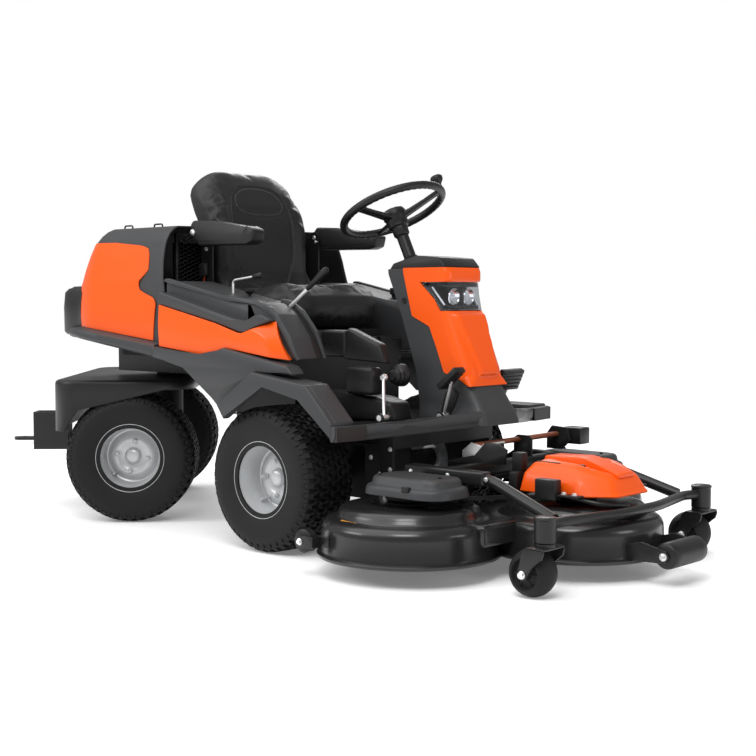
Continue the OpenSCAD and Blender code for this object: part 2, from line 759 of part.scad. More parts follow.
module blade(p, turn) color(silver) translate([p[0], p[1], 0]) {
  translate([0, 0, 74]) cylinder(r = spindle_r, h = pulley_z[1] + 6 - 74);
  translate([0, 0, 74]) cylinder(r = 28, h = 24);
  rotate([0, 0, turn]) intersection() {
    span([-blade_r, -32, 72], [blade_r, 32, 78]);
    translate([0, 0, 60]) cylinder(r = blade_r, h = 30, $fn = 96);
  }
  translate([0, 0, pulley_z[0]]) cylinder(r = pulley_r, h = pulley_z[1] - pulley_z[0]);
}

module blade_centre() blade(spindles[0], 90);
module blade_right() blade(spindles[1], 40);
module blade_left() blade(spindles[2], -40);

module belt_loop(r) hull() for (p = spindles) translate([p[0], p[1]]) circle(r, $fn = 64);

module drive_belt() color(black) translate([0, 0, pulley_z[0] + 1])
  linear_extrude(pulley_z[1] - pulley_z[0] - 2) difference() {
    belt_loop(pulley_r + 0.3 + belt_t);
    belt_loop(pulley_r + 0.3);
  }

cover_z = 232;
cover_side = [[684, 232], [684, 300], [720, 320], [880, 322], [990, 292], [1034, 232]];

module belt_cover() color(orange) {
  difference() {
    intersection() {
      side_slab(cover_side, -148, 148);
      linear_extrude(400) round_rect(684, 1034, -148, 148, 40);
    }
    intersection() {
      translate([0, 0, -4]) side_slab([[688, 200], [688, 300], [722, 320], [878, 322], [986, 292], [1030, 228]],
        -144, 144);
      linear_extrude(400) round_rect(688, 1030, -144, 144, 36);
    }
  }
  for (p = [[700, 0], [960, -118], [960, 118]])
    translate([p[0], p[1], dome_top]) cylinder(r = 8, h = (p[0] > 900 ? 297 : 304) - dome_top);
}

side_cover_x = [outer_x - 110, outer_x + 190];
side_cover_y = [blade_y - 80, blade_y + 110];

module side_belt_cover() {
  difference() {
    union() {
      translate([0, 0, cover_z]) linear_extrude(30)
        round_rect(side_cover_x[0], side_cover_x[1], side_cover_y[0], side_cover_y[1], 70);
      translate([0, 0, cover_z + 30]) linear_extrude(24)
        round_rect(side_cover_x[0] + 16, side_cover_x[1] - 16, side_cover_y[0] + 16, side_cover_y[1] - 16, 56);
    }
    translate([0, 0, cover_z - 1]) linear_extrude(27)
      round_rect(side_cover_x[0] + 4, side_cover_x[1] - 4, side_cover_y[0] + 4, side_cover_y[1] - 4, 66);
    translate([0, 0, cover_z + 20]) linear_extrude(30)
      round_rect(side_cover_x[0] + 20, side_cover_x[1] - 20, side_cover_y[0] + 20, side_cover_y[1] - 20, 52);
  }
  for (p = [[outer_x - 50, blade_y + 70], [outer_x + 84, blade_y + 74], [outer_x + 130, blade_y + 20]])
    translate([p[0], p[1], dome_top]) cylinder(r = 8, h = cover_z + 52 - dome_top);
}

module side_belt_covers() color(black) {
  other_side() side_belt_cover();
  side_belt_cover();
}

bar_mid = [1057, 0, 193];
bar_bend = [1057, 90, 193];
bar_end = [1003, 330, 193];

module deck_frame() color(black) {
  difference() {
    union() {
      pair([430, beam_turn], beam, beam_z);
      for (s = [-1, 1]) scale([1, s, 1]) {
        side_slab([[deck_pivot[0] - 4, deck_pivot[1] - 20], [deck_pivot[0] + 50, deck_pivot[1] - 20],
          [500, beam_z[0]], [500, beam_z[1]], [430, beam_z[1]], [deck_pivot[0] - 4, deck_pivot[1] + 20]],
          arm_plate[1] + 3, beam[0]);
        cross_pin(deck_pivot[0], deck_pivot[1], arm_plate[1] + 3, beam[0], 24);
        cross_pin(deck_pivot[0], deck_pivot[1], arm_plate[0] - 6, beam[0], deck_pin_r);
        rod([beam_turn - 8, (beam[0] + beam[1]) / 2, 277], bar_end, 17);
        rod(bar_end - [4, -14, 1], bar_bend + [1, -8, 0], bar_r);
        rod(bar_end - [1, 4, 0], [post_at[0], post_at[1], bar_end[2]], bar_r - 1);
        translate([post_at[0], post_at[1], post_z[0]]) cylinder(r = post_r, h = post_z[1] - post_z[0]);
      }
      cross_pin(bar_mid[0], bar_mid[2], -bar_bend[1], bar_bend[1], bar_r + 1);
      span([560, -beam[0], beam_z[0]], [590, beam[0], beam_z[1]]);
      side_slab([[440, beam_z[1] - 4], [590, beam_z[1] - 4], [672, 300], [680, 360], [600, 362], [560, 318]],
        -126, -118);
      side_slab([[500, beam_z[1] - 4], [640, beam_z[1] - 4], [640, 352], [520, 352]], 262, 270);
      cross_pin(540, 346, 130, 262, 8);
      span([520, 122, beam_z[1] - 10], [590, 130, 362]);
      hanger_posts();
    }
    for (s = [-1, 1]) scale([1, s, 1])
      translate([post_at[0], post_at[1], post_z[0] - 1]) cylinder(r = stem_r + run_fit, h = 60);
  }
}

// Struts that hang the shell from the frame
module hanger_posts() for (s = [-1, 1]) scale([1, s, 1]) {
  translate([442, 282, dome_top]) cylinder(r = 9, h = beam_z[0] - dome_top + 1);
  translate([640, 284, dome_top]) cylinder(r = 9, h = beam_z[0] - dome_top + 1);
}

axle_drop = [-caster_trail, caster_r];

module caster_fork() translate([post_at[0], post_at[1], 0]) difference() {
  union() {
    cylinder(r = stem_r, h = post_z[0] + 52);
    translate([0, 0, post_z[0] - pass_gap - 10]) cylinder(r = 30, h = 10);
    for (s = [-1, 1]) scale([1, s, 1]) {
      side_slab([[-caster_trail - 14, caster_r - 6], [-caster_trail + 14, caster_r - 6],
        [24, post_z[0] - pass_gap - 10], [-24, post_z[0] - pass_gap - 10]], caster_w / 2 + 3, caster_w / 2 + 9);
      span([-26, 0, post_z[0] - pass_gap - 10], [26, caster_w / 2 + 9, post_z[0] - pass_gap - 3]);
      cross_pin(axle_drop[0], axle_drop[1], caster_w / 2 + 3, caster_w / 2 + 9, 16);
    }
  }
  translate([0, 0, -1]) cylinder(r = 60, h = post_z[0] - pass_gap - 9);
  cross_pin(axle_drop[0], axle_drop[1], -100, 100, roller_pin_r + run_fit);
}

module fork_arms() translate([post_at[0], post_at[1], 0]) difference() {
  for (s = [-1, 1]) scale([1, s, 1]) {
    side_slab([[-caster_trail - 14, caster_r - 6], [-caster_trail + 14, caster_r - 6],
      [24, post_z[0] - pass_gap - 9], [-24, post_z[0] - pass_gap - 9]], caster_w / 2 + 3, caster_w / 2 + 9);
    cross_pin(axle_drop[0], axle_drop[1], caster_w / 2 + 3, caster_w / 2 + 9, 16);
  }
  cross_pin(axle_drop[0], axle_drop[1], -100, 100, roller_pin_r + run_fit);
}

module caster_fork_whole() {
  caster_fork();
  fork_arms();
}

module caster_fork_left() color(black) caster_fork_whole();
module caster_fork_right() color(black) other_side() caster_fork_whole();

module caster_wheel() translate([post_at[0] - caster_trail, post_at[1], caster_r]) rotate([90, 0, 0]) {
  rotate_extrude($fn = 72) polygon(concat([[0, -caster_w / 2]],
    [for (a = [-60 : 15 : 60]) [caster_r - 22 + 22 * cos(a), (caster_w / 2 - 4) * sin(a) / sin(60)]],
    [[0, caster_w / 2]]));
  cylinder(r = roller_pin_r, h = caster_w + 22, center = true);
}

module caster_wheel_left() color(black) caster_wheel();
module caster_wheel_right() color(black) other_side() caster_wheel();

module front_roller() color(black) {
  cross_pin(roller_at[0], roller_at[1], -roller_half, roller_half, roller_r);
  cross_pin(roller_at[0], roller_at[1], -roller_half - 14, roller_half + 14, roller_pin_r);
}

module rear_roller() {
  cross_pin(side_roller_at[0], side_roller_at[2], side_roller_at[1] - 15, side_roller_at[1] + 15, side_roller_r);
  cross_pin(side_roller_at[0], side_roller_at[2], side_roller_at[1] - 30, side_roller_at[1] + 30, roller_pin_r);
}

module rear_roller_left() color(black) rear_roller();
module rear_roller_right() color(black) other_side() rear_roller();

placed() main_frame();
placed() front_transaxle();
placed() foot_platform();
placed() fender_flares();
placed() side_panels();
placed() side_console_right();
placed() side_console_left();
placed() seat_pedestal();
placed() tower_shell();
placed() tower_cover();
placed() headlight_lens();
placed() dash_cap();
placed() steering_column();
placed() engine();
placed() fuel_tank();
placed() battery();
placed() radiator_screen();
placed() seat_frame();
placed() seat_cushion();
placed() seat_backrest();
placed() armrest_right();
placed() armrest_left();
placed() steering_wheel();
placed() steering_knob();
placed() throttle_lever();
placed() lift_lever();
placed() pto_knob();
placed() forward_pedal();
placed() reverse_pedal();
placed() brake_pedal();
placed() hood_shell();
placed() hood_panels();
placed() rear_grille();
placed() rear_axle();
placed() rear_fender();
placed() tow_hitch();
placed() front_right_tyre();
placed() front_right_rim();
placed() front_left_tyre();
placed() front_left_rim();
placed() rear_right_tyre();
placed() rear_right_rim();
placed() rear_left_tyre();
placed() rear_left_rim();
placed() deck_shell();
placed() deck_frame();
placed() belt_cover();
placed() side_belt_covers();
placed() spindle_housings();
placed() drive_belt();
placed() blade_centre();
placed() blade_right();
placed() blade_left();
placed() caster_fork_right();
placed() caster_fork_left();
placed() caster_wheel_right();
placed() caster_wheel_left();
placed() front_roller();
placed() rear_roller_right();
placed() rear_roller_left();
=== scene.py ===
# %% [markdown]
# # A ride-on mower, dressed for the studio
# The moving frame is already made: each body and each solid is in place. Here every visible
# piece gets its real surface. We work in metres, and measure from the front axle as a fitter would.

# %% The frame
import json
import math

import bmesh
import bpy
from mathutils import Matrix, Vector


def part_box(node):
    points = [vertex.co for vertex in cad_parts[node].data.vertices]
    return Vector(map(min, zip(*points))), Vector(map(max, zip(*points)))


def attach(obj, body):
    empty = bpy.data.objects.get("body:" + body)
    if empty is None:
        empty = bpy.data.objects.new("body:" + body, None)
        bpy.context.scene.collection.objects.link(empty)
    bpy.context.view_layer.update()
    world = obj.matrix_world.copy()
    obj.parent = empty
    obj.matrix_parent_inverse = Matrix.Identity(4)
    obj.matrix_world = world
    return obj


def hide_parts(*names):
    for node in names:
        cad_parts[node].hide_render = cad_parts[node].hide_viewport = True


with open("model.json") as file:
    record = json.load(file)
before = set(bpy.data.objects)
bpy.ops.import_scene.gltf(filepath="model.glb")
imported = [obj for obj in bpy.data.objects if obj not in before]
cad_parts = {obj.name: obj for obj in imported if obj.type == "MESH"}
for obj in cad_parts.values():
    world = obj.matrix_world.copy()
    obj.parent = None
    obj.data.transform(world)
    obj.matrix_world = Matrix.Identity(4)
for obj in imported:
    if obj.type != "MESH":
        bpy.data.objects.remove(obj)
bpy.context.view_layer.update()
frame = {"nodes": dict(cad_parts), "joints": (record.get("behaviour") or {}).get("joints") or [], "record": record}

NODES = frame["nodes"]
JOINTS = {joint["name"]: joint for joint in frame["joints"]}
BODY_OF = {n: body for body, names in frame["record"]["behaviour"]["bodies"].items() for n in names}
low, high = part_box("front_right_rim")
AXLE_X = (low.x + high.x) / 2
TYRE_R = (high.z + low.z) / 2
print("front axle at x =", round(AXLE_X, 4), "tyre radius", round(TYRE_R, 4))


# %% [markdown]
# ## Measuring from the front axle
# A fitter measures forward from the axle, out from the centre line and up from the ground, in
# millimetres. One small function turns those three numbers into a place in the scene, and a second
# does the same for the rear carriage, which stands turned about its pivot pin.

# %% Places
def at(x, y, z):
    return Vector((AXLE_X + x / 1000, y / 1000, z / 1000))


steer_pin = JOINTS["rear_steer"]["pos_m"]
spin_axis = JOINTS["rear_right_spin"]["axis"]
TURN = math.atan2(-spin_axis[0], spin_axis[1])
CARRIAGE = Matrix.Translation((steer_pin[0], steer_pin[1], 0)) @ Matrix.Rotation(TURN, 4, "Z")


def on_carriage(x, y, z):
    return CARRIAGE @ Vector((x / 1000, y / 1000, z / 1000))


print("rear carriage turned by", round(math.degrees(TURN), 1), "degrees")

# %% [markdown]
# ## The camera
# A long lens from a low three-quarter front view keeps the machine's proportions honest. It goes in
# first, so that every later step can be judged from the same place.

# %% Camera
lens = bpy.data.cameras.new("studio_camera")
lens.lens = 63.91
lens.sensor_width = 36
camera = bpy.data.objects.new("studio_camera", lens)
camera.location = at(3053.87, -3289.77, 789.57)
camera.rotation_euler = (math.radians(86.623), 0, math.radians(42.390))
bpy.context.scene.collection.objects.link(camera)
bpy.context.scene.camera = camera
print("camera at", [round(v, 3) for v in camera.location])

# %% [markdown]
# ## Effects that several finishes share
# Real surfaces are never one flat value. Three small node groups give what the finishes need:
# moulded grain for plastic and vinyl, an uneven gloss for paint and steel, and a veil of dust that
# settles where a surface faces up. Each puts out only a colour, a value or a normal.


# %% A helper for node groups
def new_effect(name, inputs, outputs):
    group = bpy.data.node_groups.new(name, "ShaderNodeTree")
    for label, kind, value in inputs:
        socket = group.interface.new_socket(label, in_out="INPUT", socket_type=kind)
        socket.default_value = value
    for label, kind in outputs:
        group.interface.new_socket(label, in_out="OUTPUT", socket_type=kind)
    entry = group.nodes.new("NodeGroupInput")
    leave = group.nodes.new("NodeGroupOutput")
    return group, entry, leave


def add_node(tree, kind, **values):
    node = tree.nodes.new(kind)
    for key, value in values.items():
        if hasattr(node, key):
            setattr(node, key, value)
        else:
            node.inputs[key.replace("_", " ")].default_value = value
    return node


FLOAT, COLOR, VECTOR = "NodeSocketFloat", "NodeSocketColor", "NodeSocketVector"

# %% Moulded grain
grain, entry, leave = new_effect(
    "Moulded grain",
    [("Scale", FLOAT, 900.0), ("Depth", FLOAT, 0.1)],
    [("Normal", VECTOR), ("Height", FLOAT)],
)
spot = add_node(grain, "ShaderNodeTexCoord")
cells = add_node(grain, "ShaderNodeTexVoronoi", feature="SMOOTH_F1")
bump = add_node(grain, "ShaderNodeBump")
bump.inputs["Distance"].default_value = 0.0006
grain.links.new(spot.outputs["Object"], cells.inputs["Vector"])
grain.links.new(entry.outputs["Scale"], cells.inputs["Scale"])
grain.links.new(cells.outputs["Distance"], bump.inputs["Height"])
grain.links.new(entry.outputs["Depth"], bump.inputs["Strength"])
grain.links.new(bump.outputs["Normal"], leave.inputs["Normal"])
grain.links.new(cells.outputs["Distance"], leave.inputs["Height"])
print("made", grain.name)

# %% Uneven gloss
uneven, entry, leave = new_effect(
    "Uneven gloss",
    [("Base", FLOAT, 0.4), ("Spread", FLOAT, 0.08), ("Scale", FLOAT, 9.0)],
    [("Roughness", FLOAT), ("Patches", FLOAT)],
)
spot = add_node(uneven, "ShaderNodeTexCoord")
cloud = add_node(uneven, "ShaderNodeTexNoise")
cloud.inputs["Detail"].default_value = 6
spread = add_node(uneven, "ShaderNodeMapRange")
spread.inputs["To Min"].default_value = -1
gain = add_node(uneven, "ShaderNodeMath", operation="MULTIPLY_ADD")
uneven.links.new(spot.outputs["Object"], cloud.inputs["Vector"])
uneven.links.new(entry.outputs["Scale"], cloud.inputs["Scale"])
uneven.links.new(cloud.outputs["Fac"], spread.inputs["Value"])
uneven.links.new(spread.outputs["Result"], gain.inputs[0])
uneven.links.new(entry.outputs["Spread"], gain.inputs[1])
uneven.links.new(entry.outputs["Base"], gain.inputs[2])
uneven.links.new(gain.outputs["Value"], leave.inputs["Roughness"])
uneven.links.new(cloud.outputs["Fac"], leave.inputs["Patches"])
print("made", uneven.name)

# %% Settled dust
dust, entry, leave = new_effect(
    "Settled dust",
    [("Colour", COLOR, (0.1, 0.1, 0.1, 1)), ("Dust colour", COLOR, (0.35, 0.33, 0.3, 1)),
     ("Amount", FLOAT, 0.1)],
    [("Colour", COLOR), ("Mask", FLOAT)],
)
spot = add_node(dust, "ShaderNodeTexCoord")
shape = add_node(dust, "ShaderNodeNewGeometry")
split = add_node(dust, "ShaderNodeSeparateXYZ")
cloud = add_node(dust, "ShaderNodeTexNoise")
cloud.inputs["Scale"].default_value = 26
cloud.inputs["Detail"].default_value = 8
facing = add_node(dust, "ShaderNodeMapRange")
facing.inputs["From Min"].default_value = 0.2
times = add_node(dust, "ShaderNodeMath", operation="MULTIPLY", use_clamp=True)
amount = add_node(dust, "ShaderNodeMath", operation="MULTIPLY", use_clamp=True)
mix = add_node(dust, "ShaderNodeMix", data_type="RGBA")
dust.links.new(shape.outputs["Normal"], split.inputs["Vector"])
dust.links.new(split.outputs["Z"], facing.inputs["Value"])
dust.links.new(spot.outputs["Object"], cloud.inputs["Vector"])
dust.links.new(facing.outputs["Result"], times.inputs[0])
dust.links.new(cloud.outputs["Fac"], times.inputs[1])
dust.links.new(times.outputs["Value"], amount.inputs[0])
dust.links.new(entry.outputs["Amount"], amount.inputs[1])
dust.links.new(amount.outputs["Value"], mix.inputs["Factor"])
dust.links.new(entry.outputs["Colour"], mix.inputs[6])
dust.links.new(entry.outputs["Dust colour"], mix.inputs[7])
dust.links.new(mix.outputs[2], leave.inputs["Colour"])
dust.links.new(amount.outputs["Value"], leave.inputs["Mask"])
print("made", dust.name)

# %% [markdown]
# ## Finishes
# Painted panels want a clear coat, moulded plastic wants grain and a wide soft highlight, and rubber
# wants almost none. One function places the shared effects in front of a Principled shader, and
# each finish then sets its own numbers on the shader's own sockets.


# %% One finish
def finish(name, colour, gloss, spread=0.05, grain_scale=0, grain_depth=0.1, dust_amount=0.05,
           **sockets):
    material = bpy.data.materials.new(name)
    material.use_nodes = True
    tree = material.node_tree
    shader = tree.nodes["Principled BSDF"]
    shade = add_node(tree, "ShaderNodeGroup", node_tree=dust)
    shade.inputs["Colour"].default_value = (*colour, 1)
    shade.inputs["Amount"].default_value = dust_amount
    tree.links.new(shade.outputs["Colour"], shader.inputs["Base Color"])
    patches = add_node(tree, "ShaderNodeGroup", node_tree=uneven)
    patches.inputs["Base"].default_value = gloss
    patches.inputs["Spread"].default_value = spread
    tree.links.new(patches.outputs["Roughness"], shader.inputs["Roughness"])
    if grain_scale:
        pores = add_node(tree, "ShaderNodeGroup", node_tree=grain)
        pores.inputs["Scale"].default_value = grain_scale
        pores.inputs["Depth"].default_value = grain_depth
        tree.links.new(pores.outputs["Normal"], shader.inputs["Normal"])
    for key, value in sockets.items():
        shader.inputs[key.replace("_", " ")].default_value = value
    return material


# %% The finishes of this machine
FINISH = {
    "orange": finish("orange gloss paint", (0.78, 0.084, 0.002), 0.36, 0.03, dust_amount=0.0,
                     Coat_Weight=0.15, Coat_Roughness=0.12, Specular_IOR_Level=0.22),
    "grey": finish("satin grey plastic", (0.034, 0.035, 0.037), 0.46, 0.06, 700, 0.12, 0.03,
                   Specular_IOR_Level=0.3),
    "black": finish("black moulded plastic", (0.009, 0.009, 0.0095), 0.42, 0.06, 700, 0.15, 0.02,
                    Specular_IOR_Level=0.3),
    "frame": finish("black frame paint", (0.01, 0.01, 0.0105), 0.32, 0.08, 60, 0.05, 0.02,
                    Specular_IOR_Level=0.35),
    "deck": finish("deck paint", (0.011, 0.011, 0.0115), 0.26, 0.05, 40, 0.04, 0.01,
                   Coat_Weight=0.15, Coat_Roughness=0.12, Specular_IOR_Level=0.4),
    "cast": finish("painted casting", (0.012, 0.012, 0.0125), 0.6, 0.08, 260, 0.4, 0.04,
                   Specular_IOR_Level=0.25),
    "zinc": finish("bright steel", (0.8, 0.8, 0.8), 0.3, 0.08, dust_amount=0.01, Metallic=0.8),
    "rim": finish("silver wheel paint", (0.5, 0.51, 0.52), 0.34, 0.06, 500, 0.05, 0.03,
                  Metallic=0.35),
    "rubber": finish("tyre rubber", (0.008, 0.008, 0.0083), 0.6, 0.08, 420, 0.3, 0.02,
                     Specular_IOR_Level=0.22),
    "vinyl": finish("seat vinyl", (0.012, 0.012, 0.0125), 0.44, 0.05, 520, 0.35, 0.01,
                    Specular_IOR_Level=0.32),
    "copper": finish("red primer steel", (0.32, 0.10, 0.055), 0.35, 0.08, dust_amount=0.05,
                     Metallic=0.6),
    "thread": finish("grey thread", (0.10, 0.10, 0.10), 0.7, 0.05, dust_amount=0.0),
    "amber": finish("amber sticker", (0.75, 0.3, 0.01), 0.4, 0.05, dust_amount=0.02),
    "red": finish("red webbing", (0.55, 0.06, 0.015), 0.6, 0.05, 900, 0.3, 0.02),
    "screen": finish("black wire", (0.012, 0.012, 0.012), 0.4, 0.05),
    "chrome": finish("lamp reflector", (0.85, 0.86, 0.88), 0.08, 0.02, dust_amount=0.0,
                     Metallic=1.0),
    "white": finish("lamp face", (0.8, 0.82, 0.85), 0.25, 0.03, dust_amount=0.0),
}
clear = bpy.data.materials.new("clear lens")
clear.use_nodes = True
glass = clear.node_tree.nodes["Principled BSDF"]
glass.inputs["Base Color"].default_value = (0.95, 0.97, 1, 1)
glass.inputs["Roughness"].default_value = 0.03
glass.inputs["IOR"].default_value = 1.45
glass.inputs["Transmission Weight"].default_value = 1.0
FINISH["clear"] = clear
print(len(FINISH), "finishes")

# %% [markdown]
# ## The tools for making pieces
# Most pieces here are pressed, moulded or turned. So the helpers copy those trades: a block or slab
# with rounded edges, a bar bent round corners, and a turned shape. Each adds to one mesh, so that
# a dozen small bolts stay one piece.


# %% Making and placing a piece
SIDES = ((-1, "right"), (1, "left"))
BOTH = (-1, 1)


def as_shape(name, work):
    data = bpy.data.meshes.new(name)
    bmesh.ops.recalc_face_normals(work, faces=work.faces)
    work.to_mesh(data)
    work.free()
    return data


def piece(name, mesh, look, body, replaces=(), smooth=40):
    if isinstance(mesh, bmesh.types.BMesh):
        mesh = as_shape(name, mesh)
    for face in mesh.polygons:
        face.use_smooth = True
    mesh.set_sharp_from_angle(angle=math.radians(smooth))
    obj = bpy.data.objects.new(name, mesh)
    bpy.context.scene.collection.objects.link(obj)
    mesh.materials.clear()
    mesh.materials.append(FINISH[look])
    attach(obj, body)
    if replaces:
        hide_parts(*replaces)
    return obj


def round_edges(obj, width, segments=3, angle=35):
    bevel = obj.modifiers.new("rounded edges", "BEVEL")
    bevel.width = width / 1000
    bevel.segments = segments
    bevel.limit_method = "ANGLE"
    bevel.angle_limit = math.radians(angle)
    bevel.harden_normals = True
    bevel.miter_outer = "MITER_ARC"
    return obj


def apply_step(obj, step):
    bpy.context.view_layer.objects.active = obj
    bpy.ops.object.modifier_apply(modifier=step.name)


def thicken(obj, wall, name="wall", apply=False):
    """Gives a sheet a wall that grows inward, and applies it where a cut has to follow."""
    step = obj.modifiers.new(name, "SOLIDIFY")
    step.thickness = wall / 1000
    step.offset = -1
    if apply:
        apply_step(obj, step)


# %% A CAD solid with its edges broken
def softened(node, look, width, name=None, segments=3, angle=35):
    mesh = NODES[node].data.copy()
    work = bmesh.new()
    work.from_mesh(mesh)
    bmesh.ops.remove_doubles(work, verts=work.verts, dist=0.00002)
    bmesh.ops.dissolve_limit(work, angle_limit=math.radians(1.5), verts=work.verts,
                             edges=work.edges)
    work.to_mesh(mesh)
    work.free()
    obj = piece(name or node + "_skin", mesh, look, BODY_OF[node], (node,))
    return round_edges(obj, width, segments, angle)


# %% Blocks, slabs, bars and turned shapes
def add_faces(work, points, faces):
    verts = [work.verts.new(p) for p in points]
    return [work.faces.new([verts[i] for i in face]) for face in faces]


def ease(work, made, width, segments=2):
    if width:
        edges = list({e for f in made for e in f.edges})
        bmesh.ops.bevel(work, geom=edges, offset=width / 1000, segments=segments, profile=0.5,
                        affect="EDGES", clamp_overlap=True)


BOX_FACES = [(0, 1, 3, 2), (4, 6, 7, 5), (0, 4, 5, 1), (2, 3, 7, 6), (0, 2, 6, 4), (1, 5, 7, 3)]


def add_block(work, low, high, ease_by=2, place=at, segments=2):
    points = [place(x, y, z) for x in (low[0], high[0]) for y in (low[1], high[1])
              for z in (low[2], high[2])]
    ease(work, add_faces(work, points, BOX_FACES), ease_by, segments)


def add_prism(work, points, ease_by, segments):
    """The first half of the points is one end, and the second half is the other."""
    count = len(points) // 2
    ends = [tuple(range(count))[::-1], tuple(range(count, 2 * count))]
    sides = [(i, (i + 1) % count, (i + 1) % count + count, i + count) for i in range(count)]
    ease(work, add_faces(work, points, ends + sides), ease_by, segments)


def add_slab(work, outline, y0, y1, ease_by=2, place=at, segments=2):
    points = [place(x, y0, z) for x, z in outline] + [place(x, y1, z) for x, z in outline]
    add_prism(work, points, ease_by, segments)


def add_plate(work, outline, z0, z1, ease_by=2, place=at, segments=2):
    points = [place(x, y, z0) for x, y in outline] + [place(x, y, z1) for x, y in outline]
    add_prism(work, points, ease_by, segments)


def frame_along(direction):
    direction = direction.normalized()
    side = direction.orthogonal().normalized()
    return Matrix((side, direction.cross(side), direction)).transposed()


def add_turned(work, base, direction, profile, steps=32):
    """profile holds (distance along, radius) pairs in millimetres, and closes at both ends."""
    turn = frame_along(Vector(direction))
    rings = []
    for along, radius in profile:
        if radius < 0.01:
            rings.append([work.verts.new(base + turn @ Vector((0, 0, along / 1000)))])
            continue
        ring = []
        for i in range(steps):
            a = 2 * math.pi * i / steps
            ring.append(work.verts.new(base + turn @ Vector(
                (radius / 1000 * math.cos(a), radius / 1000 * math.sin(a), along / 1000))))
        rings.append(ring)
    for one, two in zip(rings, rings[1:]):
        for i in range(steps):
            j = (i + 1) % steps
            if len(one) == 1 and len(two) > 1:
                work.faces.new((one[0], two[i], two[j]))
            elif len(two) == 1 and len(one) > 1:
                work.faces.new((one[i], two[0], one[j]))
            elif len(one) > 1:
                work.faces.new((one[i], two[i], two[j], one[j]))


def add_rod(work, start, end, radius, steps=20, ease_by=1.0):
    length = (end - start).length * 1000
    add_turned(work, start, end - start,
               [(0, 0), (0, radius - ease_by), (ease_by, radius), (length - ease_by, radius),
                (length, radius - ease_by), (length, 0)], steps)


# %% Skins over rings and rows of points
def join_rings(work, rings):
    """Faces between closed rings that hold the same number of points."""
    count = len(rings[0])
    for one, two in zip(rings, rings[1:]):
        for k in range(count):
            work.faces.new((one[k], one[(k + 1) % count], two[(k + 1) % count], two[k]))


def join_rows(work, rows):
    """Faces between open rows that hold the same number of points."""
    for one, two in zip(rows, rows[1:]):
        for i in range(len(one) - 1):
            work.faces.new((one[i], one[i + 1], two[i + 1], two[i]))


def close_ends(work, rings):
    work.faces.new(rings[0][::-1])
    work.faces.new(rings[-1])


# %% Bars bent round corners
def bent(points, radius=30, steps=6):
    """Rounds each inner corner of a line of points with an arc-like curve."""
    path = [points[0]]
    for before, corner, after in zip(points, points[1:], points[2:]):
        back, on = before - corner, after - corner
        reach = min(radius / 1000, back.length * 0.45, on.length * 0.45)
        p, q = corner + back.normalized() * reach, corner + on.normalized() * reach
        for i in range(steps + 1):
            t = i / steps
            path.append(p.lerp(corner, t).lerp(corner.lerp(q, t), t))
    return path + [points[-1]]


def add_bar(work, path, radius, steps=14, flat=1.0, up=None):
    rings = []
    side = None
    for i, p in enumerate(path):
        ahead = (path[min(i + 1, len(path) - 1)] - path[max(i - 1, 0)]).normalized()
        if side is None:
            side = (up or Vector((0, 0, 1))).cross(ahead)
            side = ahead.orthogonal() if side.length < 0.01 else side
        side = (side - ahead * side.dot(ahead)).normalized()
        rise = ahead.cross(side)
        r = radius[i] if isinstance(radius, list) else radius
        rings.append([work.verts.new(p + (side * math.cos(a) + rise * math.sin(a) * flat) * r / 1000)
                      for a in (2 * math.pi * k / steps for k in range(steps))])
    join_rings(work, rings)
    close_ends(work, rings)


def add_bolt(work, where, direction, size=7):
    """A flanged hexagon head with a chamfered crown."""
    direction = Vector(direction)
    add_turned(work, where, direction, [(0, 0), (0, size * 1.25), (size * 0.22, size * 1.25),
                                        (size * 0.3, 0)], 20)
    add_turned(work, where, direction,
               [(size * 0.2, 0), (size * 0.2, size), (size * 0.75, size), (size * 0.95, size * 0.8),
                (size * 0.95, 0)], 6)


print("workshop ready")

# %% [markdown]
# ## The studio
# A wide pale floor and big soft lamps give a catalogue look. The key lamp hangs high in front, a
# cool strip behind draws the top edges, and a low fill opens the black parts under the body.

# %% Floor
bpy.ops.mesh.primitive_circle_add(vertices=96, radius=40, fill_type="NGON", location=(0, 0, 0))
floor = bpy.context.object
floor.name = "studio_floor"
paper = bpy.data.materials.new("pale floor")
paper.use_nodes = True
paper_look = paper.node_tree.nodes["Principled BSDF"].inputs
for socket, value in (("Base Color", (0.93, 0.93, 0.93, 1)), ("Roughness", 0.55),
                      ("Emission Color", (1, 1, 1, 1)), ("Emission Strength", 0.16)):
    paper_look[socket].default_value = value
floor.data.materials.append(paper)
world = bpy.data.worlds.new("studio")
world.use_nodes = True
sky = world.node_tree.nodes["Background"]
sky.inputs["Color"].default_value = (1, 1, 1, 1)
ray = add_node(world.node_tree, "ShaderNodeLightPath")
level = add_node(world.node_tree, "ShaderNodeMapRange")
level.inputs["To Min"].default_value = 0.4
level.inputs["To Max"].default_value = 1.0
world.node_tree.links.new(ray.outputs["Is Camera Ray"], level.inputs["Value"])
world.node_tree.links.new(level.outputs["Result"], sky.inputs["Strength"])
bpy.context.scene.world = world
bpy.context.scene.view_settings.view_transform = "Standard"


# %% Lamps
def soft_lamp(name, where, target, size, power):
    data = bpy.data.lights.new(name, "AREA")
    data.shape = "RECTANGLE"
    data.size, data.size_y = size
    data.energy = power
    lamp = bpy.data.objects.new(name, data)
    lamp.location = where
    lamp.rotation_euler = (Vector(target) - Vector(where)).to_track_quat("-Z", "Y").to_euler()
    bpy.context.scene.collection.objects.link(lamp)


